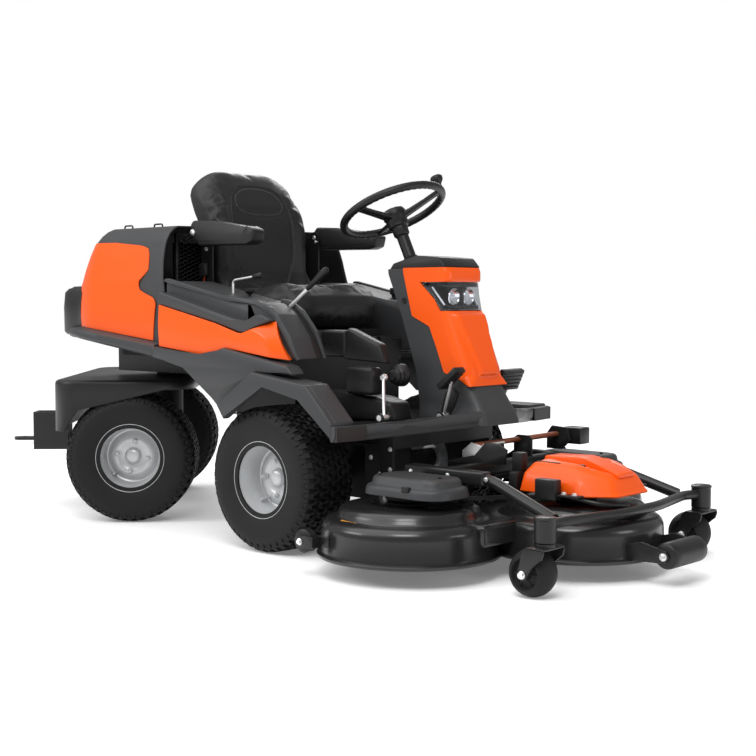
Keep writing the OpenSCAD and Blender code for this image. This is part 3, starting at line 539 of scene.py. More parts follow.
soft_lamp("key_lamp", (2.2, -2.6, 3.4), (0, 0, 0.5), (1.8, 1.4), 70)
soft_lamp("side_lamp", (-2.2, -3.6, 2.4), (-0.6, 0, 0.6), (2.2, 0.9), 45)
soft_lamp("rim_lamp", (-2.0, 3.0, 3.0), (0, 0, 0.6), (3.0, 0.8), 60)
soft_lamp("nose_lamp", (4.2, 0.6, 1.2), (0.8, 0, 0.3), (1.2, 0.7), 16)
daylight = bpy.data.lights.new("daylight", "SUN")
daylight.energy = 2.2
daylight.angle = math.radians(70)
sun = bpy.data.objects.new("daylight", daylight)
sun.rotation_euler = (math.radians(22), math.radians(-14), 0)
bpy.context.scene.collection.objects.link(sun)
print("lamps set")

# %% [markdown]
# ## Tyres
# A turf tyre is a smooth carcass with rows of small kinked blocks that run round it, and longer
# blocks on each shoulder. One block is drawn for each row, then repeated round the tyre; every
# second row is set half a step on, so that the rows make the zig-zag look of a new tread.

# %% Tread
PITCHES = 44
TYRE_STEPS = 88
TREAD_TOP = TYRE_R * 1000
FLOOR_OF_TREAD = TREAD_TOP - 9
HALF_WIDTH = 104


def tyre_radius(across):
    """The carcass radius, in millimetres, at a distance across from the tyre's middle."""
    t = abs(across) / HALF_WIDTH
    return FLOOR_OF_TREAD - 3 * t ** 2 - 24 * max(0, t - 0.72) ** 2 / 0.28 ** 2


def wrap(around, across, height):
    r = (tyre_radius(across) + height) / 1000
    return Vector((r * math.cos(around), r * math.sin(around), across / 1000))


def tread_block(work, around, across, reach, width, kink, height):
    """A kinked block: two half-blocks that meet at an angle, with sloping walls."""
    low, high = [], []
    for spread, store, lift in ((1.0, low, -3.0), (0.78, high, height)):
        for a, s in ((-1, 0), (0, 1), (1, 0)):
            mid = across + s * kink - kink / 2
            for side in BOTH:
                store.append(wrap(around + a * reach * spread, mid + side * width / 2 * spread,
                                  lift))
    lower = [work.verts.new(p) for p in low]
    upper = [work.verts.new(p) for p in high]
    for strip in (0, 2):
        work.faces.new((upper[strip], upper[strip + 2], upper[strip + 3], upper[strip + 1]))
    for loop in ((0, 2), (2, 4), (5, 3), (3, 1), (1, 0), (4, 5)):
        i, j = loop
        work.faces.new((lower[i], lower[j], upper[j], upper[i]))


def tyre_mesh():
    work = bmesh.new()
    outside = [(bead, across) for across, bead in (
        (-92, 0.106), (-94, 0.122), (-97, 0.130), (-101, 0.146), (-104, 0.168), (-104.5, 0.188))]
    profile = [(a, b * 1000) for b, a in outside]
    profile += [(s, tyre_radius(s)) for s in (-102, -98, -92, -82, -66, -44, -22, 0, 22, 44, 66, 82,
                                              92, 98, 102)]
    profile += [(-a, b * 1000) for b, a in reversed(outside)]
    profile = [(-86, 105)] + profile + [(86, 105)]
    rings = []
    for across, radius in profile:
        rings.append([work.verts.new(Vector((radius / 1000 * math.cos(a),
                                             radius / 1000 * math.sin(a), across / 1000)))
                      for a in (2 * math.pi * i / TYRE_STEPS for i in range(TYRE_STEPS))])
    join_rings(work, rings)
    for i in range(PITCHES):
        a = 2 * math.pi * i / PITCHES
        half = math.pi / PITCHES
        for row, across in enumerate((-66, -44, -22, 0, 22, 44, 66)):
            shift = half if row % 2 else 0
            tread_block(work, a + shift, across, half * 0.74, 15, 9 if row % 2 else -9, 8.4)
        for side in BOTH:
            tread_block(work, a + half * (side + 1) / 2, side * 88, half * 0.62, 19, 3, 8.0)
            tread_block(work, a + half * (side + 1) / 2 + half, side * 97, half * 0.5, 11, 2, 7.0)
    return work


# %% Wheels on the machine
def rim_mesh():
    work = bmesh.new()
    up = Vector((0, 0, 1))
    outer = [(16, 0), (16, 18), (15, 44), (19, 50), (21, 57), (20, 68), (14, 78), (8, 85), (6, 90),
             (8, 95),
             (26, 98), (50, 99), (60, 103), (78, 105), (84, 108), (87, 118), (90, 122.5), (93, 123),
             (94, 120),
             (91, 112), (86, 106), (60, 104), (0, 104), (-60, 104), (-86, 106), (-91, 120),
             (-93, 122), (-90, 114),
             (-60, 98), (0, 97), (0, 60), (-50, 50), (-60, 46), (-60, 0)]
    add_turned(work, Vector(), up, outer, 72)
    add_turned(work, Vector((0, 0, 0.014)), up,
               [(0, 0), (0, 27), (3, 29), (12, 27), (17, 22), (19, 14), (19.5, 0)], 40)
    for k in range(4):
        a = math.radians(45 + 90 * k)
        spot = Vector((0.055 * math.cos(a), 0.055 * math.sin(a), 0.017))
        add_turned(work, spot, up, [(0, 0), (0, 13), (3, 12), (4, 0)], 24)
        add_turned(work, spot, up, [(3, 0), (3, 9), (10, 9), (13, 7), (13, 0)], 6)
        add_turned(work, spot + Vector((0, 0, 0.013)), up,
                   [(0, 0), (0, 4.5), (5, 4.5), (6, 3.5), (6, 0)], 16)
    add_turned(work, Vector((0.082, 0.012, 0.01)), Vector((0.25, 0, 1)),
               [(0, 0), (0, 5), (18, 4), (19, 4.6), (30, 4.6), (31, 0)], 16)
    return work


tyre_shape = as_shape("turf_tyre", tyre_mesh())
rim_shape = as_shape("wheel_rim", rim_mesh())


def place_wheel(end, side, centre, axis):
    turn = Matrix.Translation(centre) @ frame_along(Vector(axis) * side).to_4x4()
    for part, shape, look in (("tyre", tyre_shape, "rubber"), ("rim", rim_shape, "rim")):
        mesh = shape.copy()
        mesh.transform(turn)
        node = f"{end}_{'left' if side > 0 else 'right'}_{part}"
        piece(node + "_detailed", mesh, look, BODY_OF[node], (node,), 38)


for end in ("front", "rear"):
    for side, word in SIDES:
        joint = JOINTS[f"{end}_{word}_spin"]
        place_wheel(end, side, Vector(joint["pos_m"]), joint["axis"])
print("wheels:", len(tyre_shape.polygons), "faces a tyre")

# %% [markdown]
# ## The seat
# The seat is one vinyl shell over foam: a pan with a rolled front edge, a back with bolsters, and a
# headrest panel. It is lofted across its width, puffed up by a short cloth simulation so that the
# surface goes taut like real vinyl, and then the seams are pressed in and stitched.

# %% The seat's side outline at any distance from the middle
SEAT_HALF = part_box("seat_cushion")[1].y * 1000
SEAT_WAIST = 1 - 0.06 * math.exp(-1)
seat_front = (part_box("seat_cushion")[1].x - AXLE_X) * 1000
print("seat front at", round(seat_front), "mm, half width", round(SEAT_HALF), "mm")


def dome(value, start, reach):
    """0 up to start, then rises along a quarter circle to 1 at start + reach."""
    t = min(max((value - start) / reach, 0), 1)
    return 1 - math.sqrt(1 - t * t)


def seat_outline(y):
    out = abs(y)
    roll = dome(out, 120, 118) * 95
    top_drop = dome(out, 95, 148) * 150
    bolster = 18 * math.exp(-((out - 190) / 34) ** 2)
    pan = [(-140, 700), (-112, 735), (-104, 775), (-114, 806), (-140, 824), (-175, 829),
           (-240, 822), (-320, 814),
           (-400, 812), (-452, 818)]
    back = [(-486, 840), (-502, 880), (-506, 940), (-510, 1000), (-516, 1060), (-532, 1120),
            (-556, 1175),
            (-584, 1220), (-606, 1244)]
    rear = [(-632, 1250), (-660, 1244), (-668, 1220), (-650, 1150), (-616, 1080), (-596, 1000),
            (-588, 900),
            (-580, 800), (-572, 720)]
    base = [(-520, 696), (-400, 694), (-280, 694), (-200, 694)]
    points = []
    for x, z in pan:
        points.append((x - roll * (1 if x > -260 else 0.35),
                       z + bolster * 0.45 * (x < -150 and z > 790)))
    for x, z in back:
        t = (z - 840) / 404
        points.append((x + bolster * (1 - 0.4 * t), z - top_drop * max(0, t) ** 2))
    for x, z in rear:
        t = max(0, (z - 840) / 404)
        points.append((x, z - top_drop * t ** 2))
    return points + base


def seat_source():
    work = bmesh.new()
    rings = []
    slices = 33
    for i in range(slices):
        y = (SEAT_HALF - 7) * math.sin(math.pi * (i / (slices - 1) - 0.5))
        outline = seat_outline(y)
        pinch = 0.35 * dome(abs(y), 198, 35)
        spine = [(-400 if z < 850 else -560 - 60 * (z > 1180), 755 if z < 850 else min(z, 1190))
                 for x, z in outline]
        rings.append([work.verts.new(at(x + (a - x) * pinch * (0.45 if z < 850 else 1),
                                        y * SEAT_WAIST, z + (b - z) * pinch))
                      for (x, z), (a, b) in zip(outline, spine)])
    join_rings(work, rings)
    for ring in (rings[0], rings[-1]):
        bmesh.ops.triangulate(work, faces=[work.faces.new(ring)])
    bmesh.ops.recalc_face_normals(work, faces=work.faces)
    return work


# %% Puffing a pad
def relax(obj, rounds):
    step = obj.modifiers.new("relax", "SMOOTH")
    step.iterations = rounds
    apply_step(obj, step)


def puff(obj, voxel, pressure, cap):
    """Remeshes a pad evenly, lets air pressure round it, and keeps each point within cap of its start."""
    remesh = obj.modifiers.new("even skin", "REMESH")
    remesh.mode = "VOXEL"
    remesh.voxel_size = voxel / 1000
    apply_step(obj, remesh)
    start = [v.co.copy() for v in obj.data.vertices]
    cloth = obj.modifiers.new("air", "CLOTH")
    cloth.settings.use_pressure = True
    cloth.settings.uniform_pressure_force = pressure
    cloth.settings.effector_weights.gravity = 0
    for now in range(1, 21):
        bpy.context.scene.frame_set(now)
    seen = obj.evaluated_get(bpy.context.evaluated_depsgraph_get())
    moved = [v.co.copy() for v in seen.data.vertices]
    obj.modifiers.remove(cloth)
    for vert, a, b in zip(obj.data.vertices, start, moved):
        shift = b - a
        vert.co = a + shift * min(1, cap / 1000 / max(shift.length, 1e-9))
    bpy.context.scene.frame_set(1)
    relax(obj, 2)
    print(obj.name, "has", len(obj.data.vertices), "points after puffing")


seat = piece("seat_vinyl", seat_source(), "vinyl", "seat", ("seat_cushion", "seat_backrest"),
             180)
puff(seat, 7, 3.0, 9)


# %% Seams pressed into the vinyl
def loop_points(centre_y, centre_z, half_y, half_z, power=3.2, steps=120):
    points = []
    for i in range(steps):
        a = 2 * math.pi * i / steps
        c, s = math.cos(a), math.sin(a)
        points.append((centre_y + half_y * math.copysign(abs(c) ** (2 / power), c),
                       centre_z + half_z * math.copysign(abs(s) ** (2 / power), s)))
    return points


def head_panel():
    return [(y, z - 16 * (y / 118) ** 2 * (z > 1130)) for y,
            z in loop_points(0, 1136, 120, 54, 2.8)]


def back_panel():
    loop = loop_points(0, 1010, 138, 186, 3.0)
    return [(y * (1 - 0.16 * max(0, (940 - z) / 120)), z) for y, z in loop]


def pan_seam():
    side = [(-470 + 12 * i, 172) for i in range(20)]
    front = [(-236 + 52 * math.sin(a), 120 + 52 * math.cos(a))
             for a in (math.pi / 2 * i / 10 for i in range(11))]
    right = side + front + [(-184, 120 - 12 * i) for i in range(11)]
    return right + [(x, -y) for x, y in reversed(right)]


def distance_to(line, p, closed=True):
    best = 1e9
    pairs = zip(line, line[1:] + line[:1]) if closed else zip(line, line[1:])
    for a, b in pairs:
        ab = (b[0] - a[0], b[1] - a[1])
        t = ((p[0] - a[0]) * ab[0] + (p[1] - a[1]) * ab[1]) / (ab[0] ** 2 + ab[1] ** 2 + 1e-9)
        t = min(max(t, 0), 1)
        best = min(best, math.hypot(p[0] - a[0] - t * ab[0], p[1] - a[1] - t * ab[1]))
    return best


def press_seams(obj):
    finer = obj.modifiers.new("finer", "SUBSURF")
    finer.levels = finer.render_levels = 1
    apply_step(obj, finer)
    mesh = obj.data
    head, back, pan = head_panel(), back_panel(), pan_seam()
    normals = [v.normal.copy() for v in mesh.vertices]
    for vert, normal in zip(mesh.vertices, normals):
        x, y, z = (vert.co.x - AXLE_X) * 1000, vert.co.y * 1000, vert.co.z * 1000
        depth = 0
        if normal.x > 0.25 and z > 830:
            if abs(y) < 160:
                d = distance_to(head, (y, z))
                depth = 3.4 * math.exp(-(d / 3.6) ** 2)
                below = distance_to(back, (y, z))
                depth = max(depth, 3.4 * math.exp(-(below / 3.6) ** 2) if z < 1190 else 0)
        elif normal.z > 0.4 and z < 850:
            depth = 3.0 * math.exp(-(distance_to(pan, (x, y), False) / 3.8) ** 2)
        if depth > 0.05:
            vert.co -= normal * depth / 1000


press_seams(seat)
for face in seat.data.polygons:
    face.use_smooth = True
print("seat seams pressed")

# %% Stitches beside the seams
from mathutils.bvhtree import BVHTree

seat_skin = BVHTree.FromObject(seat, bpy.context.evaluated_depsgraph_get())


def stitch_row(work, line, towards, lift=0.6, length=6.5, gap=3.5):
    """Short raised threads along a line of places, laid on the seat by a ray."""
    hits = []
    for p in line:
        hit, normal, _, _ = seat_skin.ray_cast(p, towards)
        if hit:
            hits.append((hit, normal))
    run = 0
    for (a, n), (b, _) in zip(hits, hits[1:]):
        step = (b - a).length * 1000
        if step > 25:
            continue
        run += step
        if run >= length + gap:
            run = 0
            ahead = (b - a).normalized() * length / 1000
            start = a + n * lift / 1000
            add_bar(work, [start, start + ahead * 0.5 + n * 0.0003, start + ahead], 0.8, 6)


threads = bmesh.new()
inner = [(y * 0.925, 1136 + (z - 1136) * 0.86) for y, z in loop_points(0, 1136, 120, 54, 2.8, 400)]
stitch_row(threads, [at(-300, y, z - 14 * (y / 118) ** 2 * (z > 1130)) for y, z in inner],
           Vector((-1, 0, 0)))
dense = loop_points(0, 1010, 138, 186, 3.0, 700)
outer = [(y * (1 - 0.16 * max(0, (940 - z) / 120)) * 1.06, 1010 + (z - 1010) * 1.035) for y,
         z in dense]
stitch_row(threads, [at(-300, y, z) for y, z in outer if z < 1150], Vector((-1, 0, 0)))
piece("seat_stitches", threads, "thread", "seat", ())

# %% [markdown]
# ## Armrests and their brackets
# Each armrest is a moulded wedge with a softer cap over its nose and underside. It turns on a bolt
# in a steel upright, so the bolt's head shows at the back, and a belt hangs from the right upright.


# %% Armrests
def armrest(side, word):
    body = f"armrest_{word}"
    y0, y1 = sorted((side * 267, side * 327))
    work = bmesh.new()
    add_slab(work, [(-520, 1040), (-505, 1056), (-400, 1050), (-250, 1027), (-236, 1019),
                    (-247, 985), (-262, 979),
                    (-470, 980), (-505, 992)], y0, y1, 13, segments=4)
    piece(body + "_pad", work, "vinyl", body, (body,), 60)
    cap = bmesh.new()
    add_slab(cap, [(-246, 1030), (-214, 1020), (-203, 1010), (-213, 976), (-240, 967), (-470, 970),
                   (-492, 978),
                   (-470, 986), (-262, 983), (-248, 990)], y0 + 1, y1 - 1, 7, segments=3)
    piece(body + "_cap", cap, "black", body, (), 60)
    pin = bmesh.new()
    add_rod(pin, at(-503, side * 252, 1016), at(-503, side * 268, 1016), 8)
    add_bolt(pin, at(-503, side * 327, 1016), (0, side, 0), 8)
    piece(body + "_pivot", pin, "zinc", body)


armrest(-1, "right")
armrest(1, "left")

# %% Seat frame, springs and belt
softened("seat_frame", "frame", 2)
belt = bmesh.new()
add_bar(belt, bent([at(-512, -262, 900), at(-520, -268, 830), at(-500, -270, 760),
                    at(-470, -262, 712)], 30), 10, 10, 0.18)
piece("belt_webbing", belt, "red", "seat", ())
buckle = bmesh.new()
add_block(buckle, (-528, -282, 868), (-496, -262, 912), 5)
add_block(buckle, (-518, -280, 800), (-498, -262, 828), 4)
add_block(buckle, (-480, -272, 690), (-440, -250, 720), 5)
piece("belt_buckle", buckle, "black", "seat", ())
uprights = bmesh.new()
for side in BOTH:
    add_bolt(uprights, at(-512, side * 260, 960), (0, side, 0), 6)
    add_bolt(uprights, at(-512, side * 260, 724), (0, side, 0), 6)
    add_rod(uprights, at(-490, side * 246, 1000), at(-490, side * 262, 1000), 5)
piece("seat_bolts", uprights, "zinc", "seat")
print("seat dressed")

# %% [markdown]
# ## The hood
# The hood is one moulded dark shell that wraps round the engine: its sides lean in, its rear slopes
# more, and its top is flat with a bevelled edge. It is swept round the plan of a rounded rectangle,
# with the lean blended from side to rear, and the glossy panels are laid on as raised patches.

# %% The surface the hood's pieces lie on
hood_low, hood_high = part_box("hood_shell")
print("hood", [round(size * 1000) for size in hood_high - hood_low], "mm")
HOOD_FRONT, HOOD_REAR, HOOD_HALF, HOOD_CORNER = -505, -1135, 460, 250
SIDE_LEAN = [(590, 0), (700, 0), (780, 4), (870, 14), (940, 27), (985, 42), (1012, 62), (1030, 84),
             (1038, 104)]
REAR_LEAN = [(590, 0), (760, 0), (840, 4), (900, 34), (950, 76), (985, 108), (1012, 142),
             (1030, 178), (1038, 204)]


def read_off(table, value):
    if value <= table[0][0]:
        return table[0][1]
    for (a, p), (b, q) in zip(table, table[1:]):
        if value <= b:
            t = (value - a) / (b - a)
            return p + (q - p) * t
    return table[-1][1]


STRAIGHT = HOOD_FRONT - (HOOD_REAR + HOOD_CORNER)
ARC = HOOD_CORNER * math.pi / 2
REAR_RUN = 2 * (HOOD_HALF - HOOD_CORNER)
HOOD_RUN = 2 * STRAIGHT + 2 * ARC + REAR_RUN


def hood_plan(run, out):
    """A place on the hood's plan, run along it from the right front edge, with its outward direction."""
    if run <= STRAIGHT:
        return HOOD_FRONT - run, -HOOD_HALF - out, 0.0
    run -= STRAIGHT
    if run <= ARC:
        a = run / HOOD_CORNER
        return (HOOD_REAR + HOOD_CORNER - (HOOD_CORNER + out) * math.sin(a),
                -HOOD_HALF + HOOD_CORNER - (HOOD_CORNER + out) * math.cos(a), a / (math.pi / 2))
    run -= ARC
    if run <= REAR_RUN:
        return HOOD_REAR - out, -HOOD_HALF + HOOD_CORNER + run, 1.0
    run -= REAR_RUN
    if run <= ARC:
        a = math.pi / 2 - run / HOOD_CORNER
        return (HOOD_REAR + HOOD_CORNER - (HOOD_CORNER + out) * math.sin(a),
                HOOD_HALF - HOOD_CORNER + (HOOD_CORNER + out) * math.cos(a), a / (math.pi / 2))
    run -= ARC
    return HOOD_REAR + HOOD_CORNER + run, HOOD_HALF + out, 0.0


def on_hood(run, z, proud=0.0):
    rearness = hood_plan(run, 0)[2]
    smooth = rearness * rearness * (3 - 2 * rearness)
    lean = read_off(SIDE_LEAN, z) * (1 - smooth) + read_off(REAR_LEAN, z) * smooth
    x, y, _ = hood_plan(run, proud - lean)
    return at(x, y, z)


def run_at(x, side):
    """How far along the plan a place at x on the given side is."""
    if x >= HOOD_REAR + HOOD_CORNER:
        run = HOOD_FRONT - x
    else:
        run = STRAIGHT + HOOD_CORNER * math.asin(min(1,
                                                     (HOOD_REAR + HOOD_CORNER - x) / HOOD_CORNER))
    return run if side < 0 else HOOD_RUN - run


# %% The dark shell
def hood_shell_mesh():
    work = bmesh.new()
    columns = [HOOD_RUN * i / 132 for i in range(133)]
    heights = [592, 600, 620, 660, 700, 740, 780, 820, 860, 900, 930, 955, 975, 990, 1002, 1012,
               1021, 1028, 1034, 1037, 1038]
    front_edge = [(592, 0), (640, -3), (770, -8), (800, 2), (868, -22), (1000, -38), (1038, -46)]
    rows = []
    for z in heights:
        row = []
        for run in columns:
            p = on_hood(run, z)
            ends = min(run, HOOD_RUN - run)
            shift = (read_off(front_edge, z) + 6) * max(0, 1 - ends / 120)
            foot = 0
            if z < 700:
                x = (p.x - AXLE_X) * 1000
                base = 592 if x > HOOD_FRONT - 20 else 592 + (HOOD_FRONT - 20 - x) * 60 / 450
                base = min(base, 652)
                foot = max(0, base - z) if z < 652 else 0
            row.append(work.verts.new(p + Vector((shift / 1000, 0, foot / 1000))))
        rows.append(row)
    for one, two in zip(rows, rows[1:]):
        for i in range(len(columns) - 1):
            if (two[i].co - one[i].co).length > 0.0002 or (two[i + 1].co - one[i + 1].co).length > 0.0002:
                work.faces.new((one[i], one[i + 1], two[i + 1], two[i]))
    top = rows[-1]
    mids = []
    for i, vert in enumerate(top):
        x, y = vert.co.x, vert.co.y
        mids.append(work.verts.new((max(x, AXLE_X - 0.93), y * 0.86, vert.co.z + 0.001)))
    for i in range(len(top) - 1):
        work.faces.new((top[i], top[i + 1], mids[i + 1], mids[i]))
    half = len(mids) // 2
    for i in range(half):
        a, b, c, d = mids[i], mids[i + 1], mids[-2 - i], mids[-1 - i]
        if len({a, b, c, d}) == 4:
            work.faces.new((a, b, c, d))
    bmesh.ops.remove_doubles(work, verts=work.verts, dist=0.0002)
    return work


shell = piece("hood_body", hood_shell_mesh(), "grey", "hood", ("hood_shell",), 50)
thicken(shell, 5)
print("hood shell", len(shell.data.polygons), "faces")


# %% The glossy side panels, with a crease and a soft swell
def crease(u, z):
    """A raised line that runs back from the front edge and fades, and a swell below it."""
    line = 852 - 26 * u
    ridge = 3.2 * math.exp(-((z - line) / 16) ** 2) * (1 - 0.5 * u)
    return ridge + 2.5 * math.exp(-((z - 760) / 70) ** 2)


def hood_panel_mesh(side):
    work = bmesh.new()
    across, up = 56, 30
    grid = []
    for j in range(up + 1):
        v = j / up
        row = []
        for i in range(across + 1):
            u = i / across
            front = read_off([(0, -553), (0.4, -541), (0.46, -552), (0.52, -628), (0.56, -640),
                              (0.63, -640), (0.76, -598),
                              (0.93, -604), (1, -618)], v)
            rear = read_off([(0, -985), (0.3, -1020), (0.62, -1072), (0.85, -1058), (1, -1010)], v)
            x = front + (rear - front) * u
            bottom = 644 + 44 * min(1, (HOOD_FRONT - x) / 420)
            top = read_off([(0, 962), (0.1, 972), (0.5, 986), (1, 988)], u)
            z = bottom + (top - bottom) * v
            row.append(work.verts.new(on_hood(run_at(x, side), z, 3 + crease(u, z))))
        grid.append(row)
    join_rows(work, grid)
    return work


for side, word in SIDES:
    panel = piece(f"hood_panel_{word}", hood_panel_mesh(side), "orange", "hood",
                  ("hood_panels",) if side < 0 else (), 60)
    thicken(panel, 4, "skin")
    round_edges(panel, 2.2, 3)


# %% The lower lip and the vented bulge behind
def swept(profile, start, end, steps=70):
    """Sweeps a closed outline of (out, z) round the hood's plan. The outline may change along the run."""
    work = bmesh.new()
    rings = []
    for i in range(steps + 1):
        run = start + (end - start) * i / steps
        ring = []
        for out, z in profile(run):
            x, y, _ = hood_plan(run, out)
            ring.append(work.verts.new(at(x, y, z)))
        rings.append(ring)
    join_rings(work, rings)
    close_ends(work, rings)
    return work


def lip_profile(run):
    x = hood_plan(run, 0)[0]
    back = min(1, max(0, (HOOD_FRONT - x) / 450))
    top, bottom = 636 + 50 * back, 594 + 58 * back
    out = 43 + 2 * back
    return [(-3, bottom + 4), (out - 14, bottom), (out - 3, bottom + 6), (out, bottom + 14),
            (out - 4, top - 5),
            (out - 12, top), (14, top + 3), (2, top + 6), (-3, top)]


lip = piece("hood_lip", swept(lip_profile, 3, HOOD_RUN - 3, 110), "grey", "hood", (),
            45)
round_edges(lip, 3, 2, 50)


def bulge_profile(run):
    ends = min(run - (STRAIGHT + ARC * 0.3), HOOD_RUN - STRAIGHT - ARC * 0.3 - run)
    fade = min(1, max(0.0, ends / 130))
    fade = fade * fade * (3 - 2 * fade)
    out = 4 + 76 * fade
    return [(-4, 660), (out - 10, 660), (out, 670), (out + 1, 760), (out - 4, 812), (out - 18, 826),
            (min(out - 26, 30), 834), (-4, 836)]


bulge = piece("rear_bulge", swept(bulge_profile, STRAIGHT + ARC * 0.3,
                                  HOOD_RUN - STRAIGHT - ARC * 0.3, 60),
              "black", "hood", ("rear_grille",), 45)
round_edges(bulge, 4, 2, 50)
slats = bmesh.new()
for row in range(7):
    z = 712 + row * 15
    start, end = STRAIGHT + ARC * 0.95, HOOD_RUN - STRAIGHT - ARC * 0.95
    path = []
    for i in range(41):
        x, y, _ = hood_plan(start + (end - start) * i / 40, 82.5)
        path.append(at(x, y, z))
    add_bar(slats, path, 3.2, 8)
piece("bulge_slats", slats, "frame", "hood", ())

# %% Mesh screen, top loops, and the black edge strip at the front
screen_bars = bmesh.new()
softened("radiator_screen", "black", 2)
for k in range(-22, 46):
    for lean in (1, -1):
        y0, y1 = -296, 296
        z_mid = 600 + k * 14
        ends = [(y0, z_mid if lean > 0 else z_mid + 240), (y1, z_mid + 240 if lean > 0 else z_mid)]
        (ya, za), (yb, zb) = ends
        if zb == za:
            continue
        cut = []
        for y, z in ((ya, za), (yb, zb)):
            zc = min(max(z, 640), 1016)
            cut.append((ya + (yb - ya) * (zc - za) / (zb - za), zc))
        if abs(cut[0][0] - cut[1][0]) > 20:
            add_bar(screen_bars, [at(-626, cut[0][0], cut[0][1]), at(-626, cut[1][0], cut[1][1])],
                    1.5, 6)
add_block(screen_bars, (-632, -300, 1008), (-618, 300, 1018), 3)
for side in BOTH:
    add_block(screen_bars, (-632, side * 300 - 6, 640), (-618, side * 300 + 6, 1018), 3)
piece("screen_mesh", screen_bars, "screen", "hood", ())
loops = bmesh.new()
for x in (-700, -870):
    for side in BOTH:
        y = side * 300
        add_bar(loops, bent([at(x, y, 1034), at(x, y, 1052), at(x - 46, y, 1052),
                             at(x - 46, y, 1034)], 14), 3, 10)
piece("hood_top_loops", loops, "frame", "hood", ())
print("hood dressed")

# %% [markdown]
# ## The body sides
# Each side has three mouldings: a dark console on top that carries the levers, a glossy panel below
# it, and a dark skirt that follows the panel down to the wheel. They are slabs with generous round
# edges, and the flare over the front wheel is a folded band.


# %% Consoles, panels and skirts
def side_pair(name, outline, out_low, out_high, ease_by, look, nodes, segments=4):
    for side, word in SIDES:
        work = bmesh.new()
        y0, y1 = sorted((side * out_low, side * out_high))
        add_slab(work, outline, y0, y1, ease_by, segments=segments)
        node = nodes.get(word)
        piece(f"{name}_{word}", work, look, "chassis", (node,) if node else (), 50)


side_pair("console", [(-492, 606), (-492, 846), (-470, 850), (-160, 787), (-64, 780), (-40, 740),
                      (-40, 606)],
          268, 456, 13, "grey", {"right": "side_console_right", "left": "side_console_left"})
CONSOLE_NOSE = [(-90, 606), (-90, 782), (-30, 776), (30, 755), (70, 720), (112, 666), (142, 606)]
side_pair("console_nose", CONSOLE_NOSE, 352, 456, 6, "grey", {})
side_pair("console_recess", [(x + 1.5, z + 1.5) for x, z in CONSOLE_NOSE[1:]] + [(90, 620)], 354,
          376, 1, "black", {})
side_pair("console_shoulder", [(-490, 772), (-490, 808), (-478, 812), (-112, 726), (-62, 716), (-22,
    738), (10, 742), (50, 724),
                               (-62, 688), (-76, 685), (-92, 686), (-200, 716)], 440, 492, 5,
                               "grey", {})
side_pair("console_edge", [(-490, 846), (-488, 856), (-470, 857), (-170, 795), (-40, 786), (24,
    764), (70, 724), (150, 606), (140, 600),
                           (60, 716), (16, 754), (-44, 776), (-172, 784), (-474, 846)], 448, 464, 3,
                           "grey", {})
side_pair("console_rib", [(-40, 782), (2, 774), (56, 742), (112, 672), (144, 606), (128, 606),
                          (98, 660), (44, 726),
                          (-4, 758), (-40, 764)], 376, 462, 4, "grey", {})
side_pair("console_inner_rib", [(-46, 790), (0, 784), (52, 754), (112, 690), (150, 606), (128, 606),
                                (92, 676),
                                (40, 736), (-8, 762), (-46, 768)], 340, 353, 3, "grey", {})


PANEL_TOP = [(-479, 770), (-200, 713), (-92, 684), (-74, 683), (-62, 686), (52, 722)]
PANEL_BOTTOM = [(-479, 633), (-215, 605), (-203, 605), (-158, 633), (-146, 635), (118, 603)]


def side_panel_mesh(side):
    """A nearly flat panel between two edge lines; its nose turns inward along a crease."""
    work = bmesh.new()
    grid = []
    columns = sorted({-479 + 597 * i / 60 for i in range(61)} | {p[0] for p in PANEL_BOTTOM})
    for j in range(13):
        v = j / 12
        row = []
        for x in columns:
            lift = read_off(PANEL_BOTTOM, x) * (1 - v) + read_off(PANEL_TOP,
                x - 66 * v * smooth_run(x)) * v
            across = x - 66 * v * smooth_run(x)
            fold = max(0.0, across - (58 - 96 * v * v + 10 * v))
            row.append(work.verts.new(at(across,
                                         side * (496 - 0.42 * fold + 3 * math.sin(math.pi * v)),
                                         lift)))
        grid.append(row)
    join_rows(work, grid)
    return work


def smooth_run(x):
    """0 at the panel's rear edge and 1 at its nose, so that the nose edge can lean back."""
    return max(0.0, (x + 479) / 597) ** 1.5


for side, word in SIDES:
    panel = piece(f"side_panel_{word}", side_panel_mesh(side), "orange", "chassis",
                  ("side_panels",) if side < 0 else (), 30)
    thicken(panel, 20, "skin")
    round_edges(panel, 3, 3)
side_pair("skirt", [(-500, 594), (-500, 632), (-255, 608), (-200, 617), (-148, 636), (63, 601),
                    (142, 588), (168, 562),
                    (64, 566), (6, 574), (-60, 532), (-172, 450), (-214, 486), (-337, 572),
                    (-440, 588)], 452, 510, 6,
          "grey", {})

# %% Wheel flares
def flare_mesh(side):
    """The left flare comes down sooner than the right one, and a low sill runs on to the corner."""
    def line(points):
        return [(x, z) if side < 0 or x < 10 else (8 + (x - 8) * 0.52, z) for x, z in points]

    work = bmesh.new()
    outer = [(-150, 458), (8, 566), (247, 536), (352, 428)]
    inner = [(-118, 414), (61, 528), (217, 496), (352, 380)]
    y0, y1 = sorted((side * 508, side * 534))
    add_slab(work, line(outer + inner[::-1]), y0, y1, 5, segments=3)
    roof = [(30, 563), (247, 536), (352, 430), (352, 416), (240, 522), (30, 549)]
    y0, y1 = sorted((side * 436, side * 514))
    add_slab(work, line(roof), y0, y1, 4, segments=3)
    y0, y1 = sorted((side * 436, side * 444))
    add_slab(work, line([(176, 545), (247, 536), (352, 430), (352, 400), (236, 500), (176, 512)]),
             y0, y1, 3)
    if side > 0:
        add_block(work, (176, 436, 404), (352, 534, 428), 5)
    return work


for side, word in SIDES:
    piece(f"wheel_flare_{word}", flare_mesh(side), "grey", "chassis", ("fender_flares",)
          if side < 0 else (),
          40)

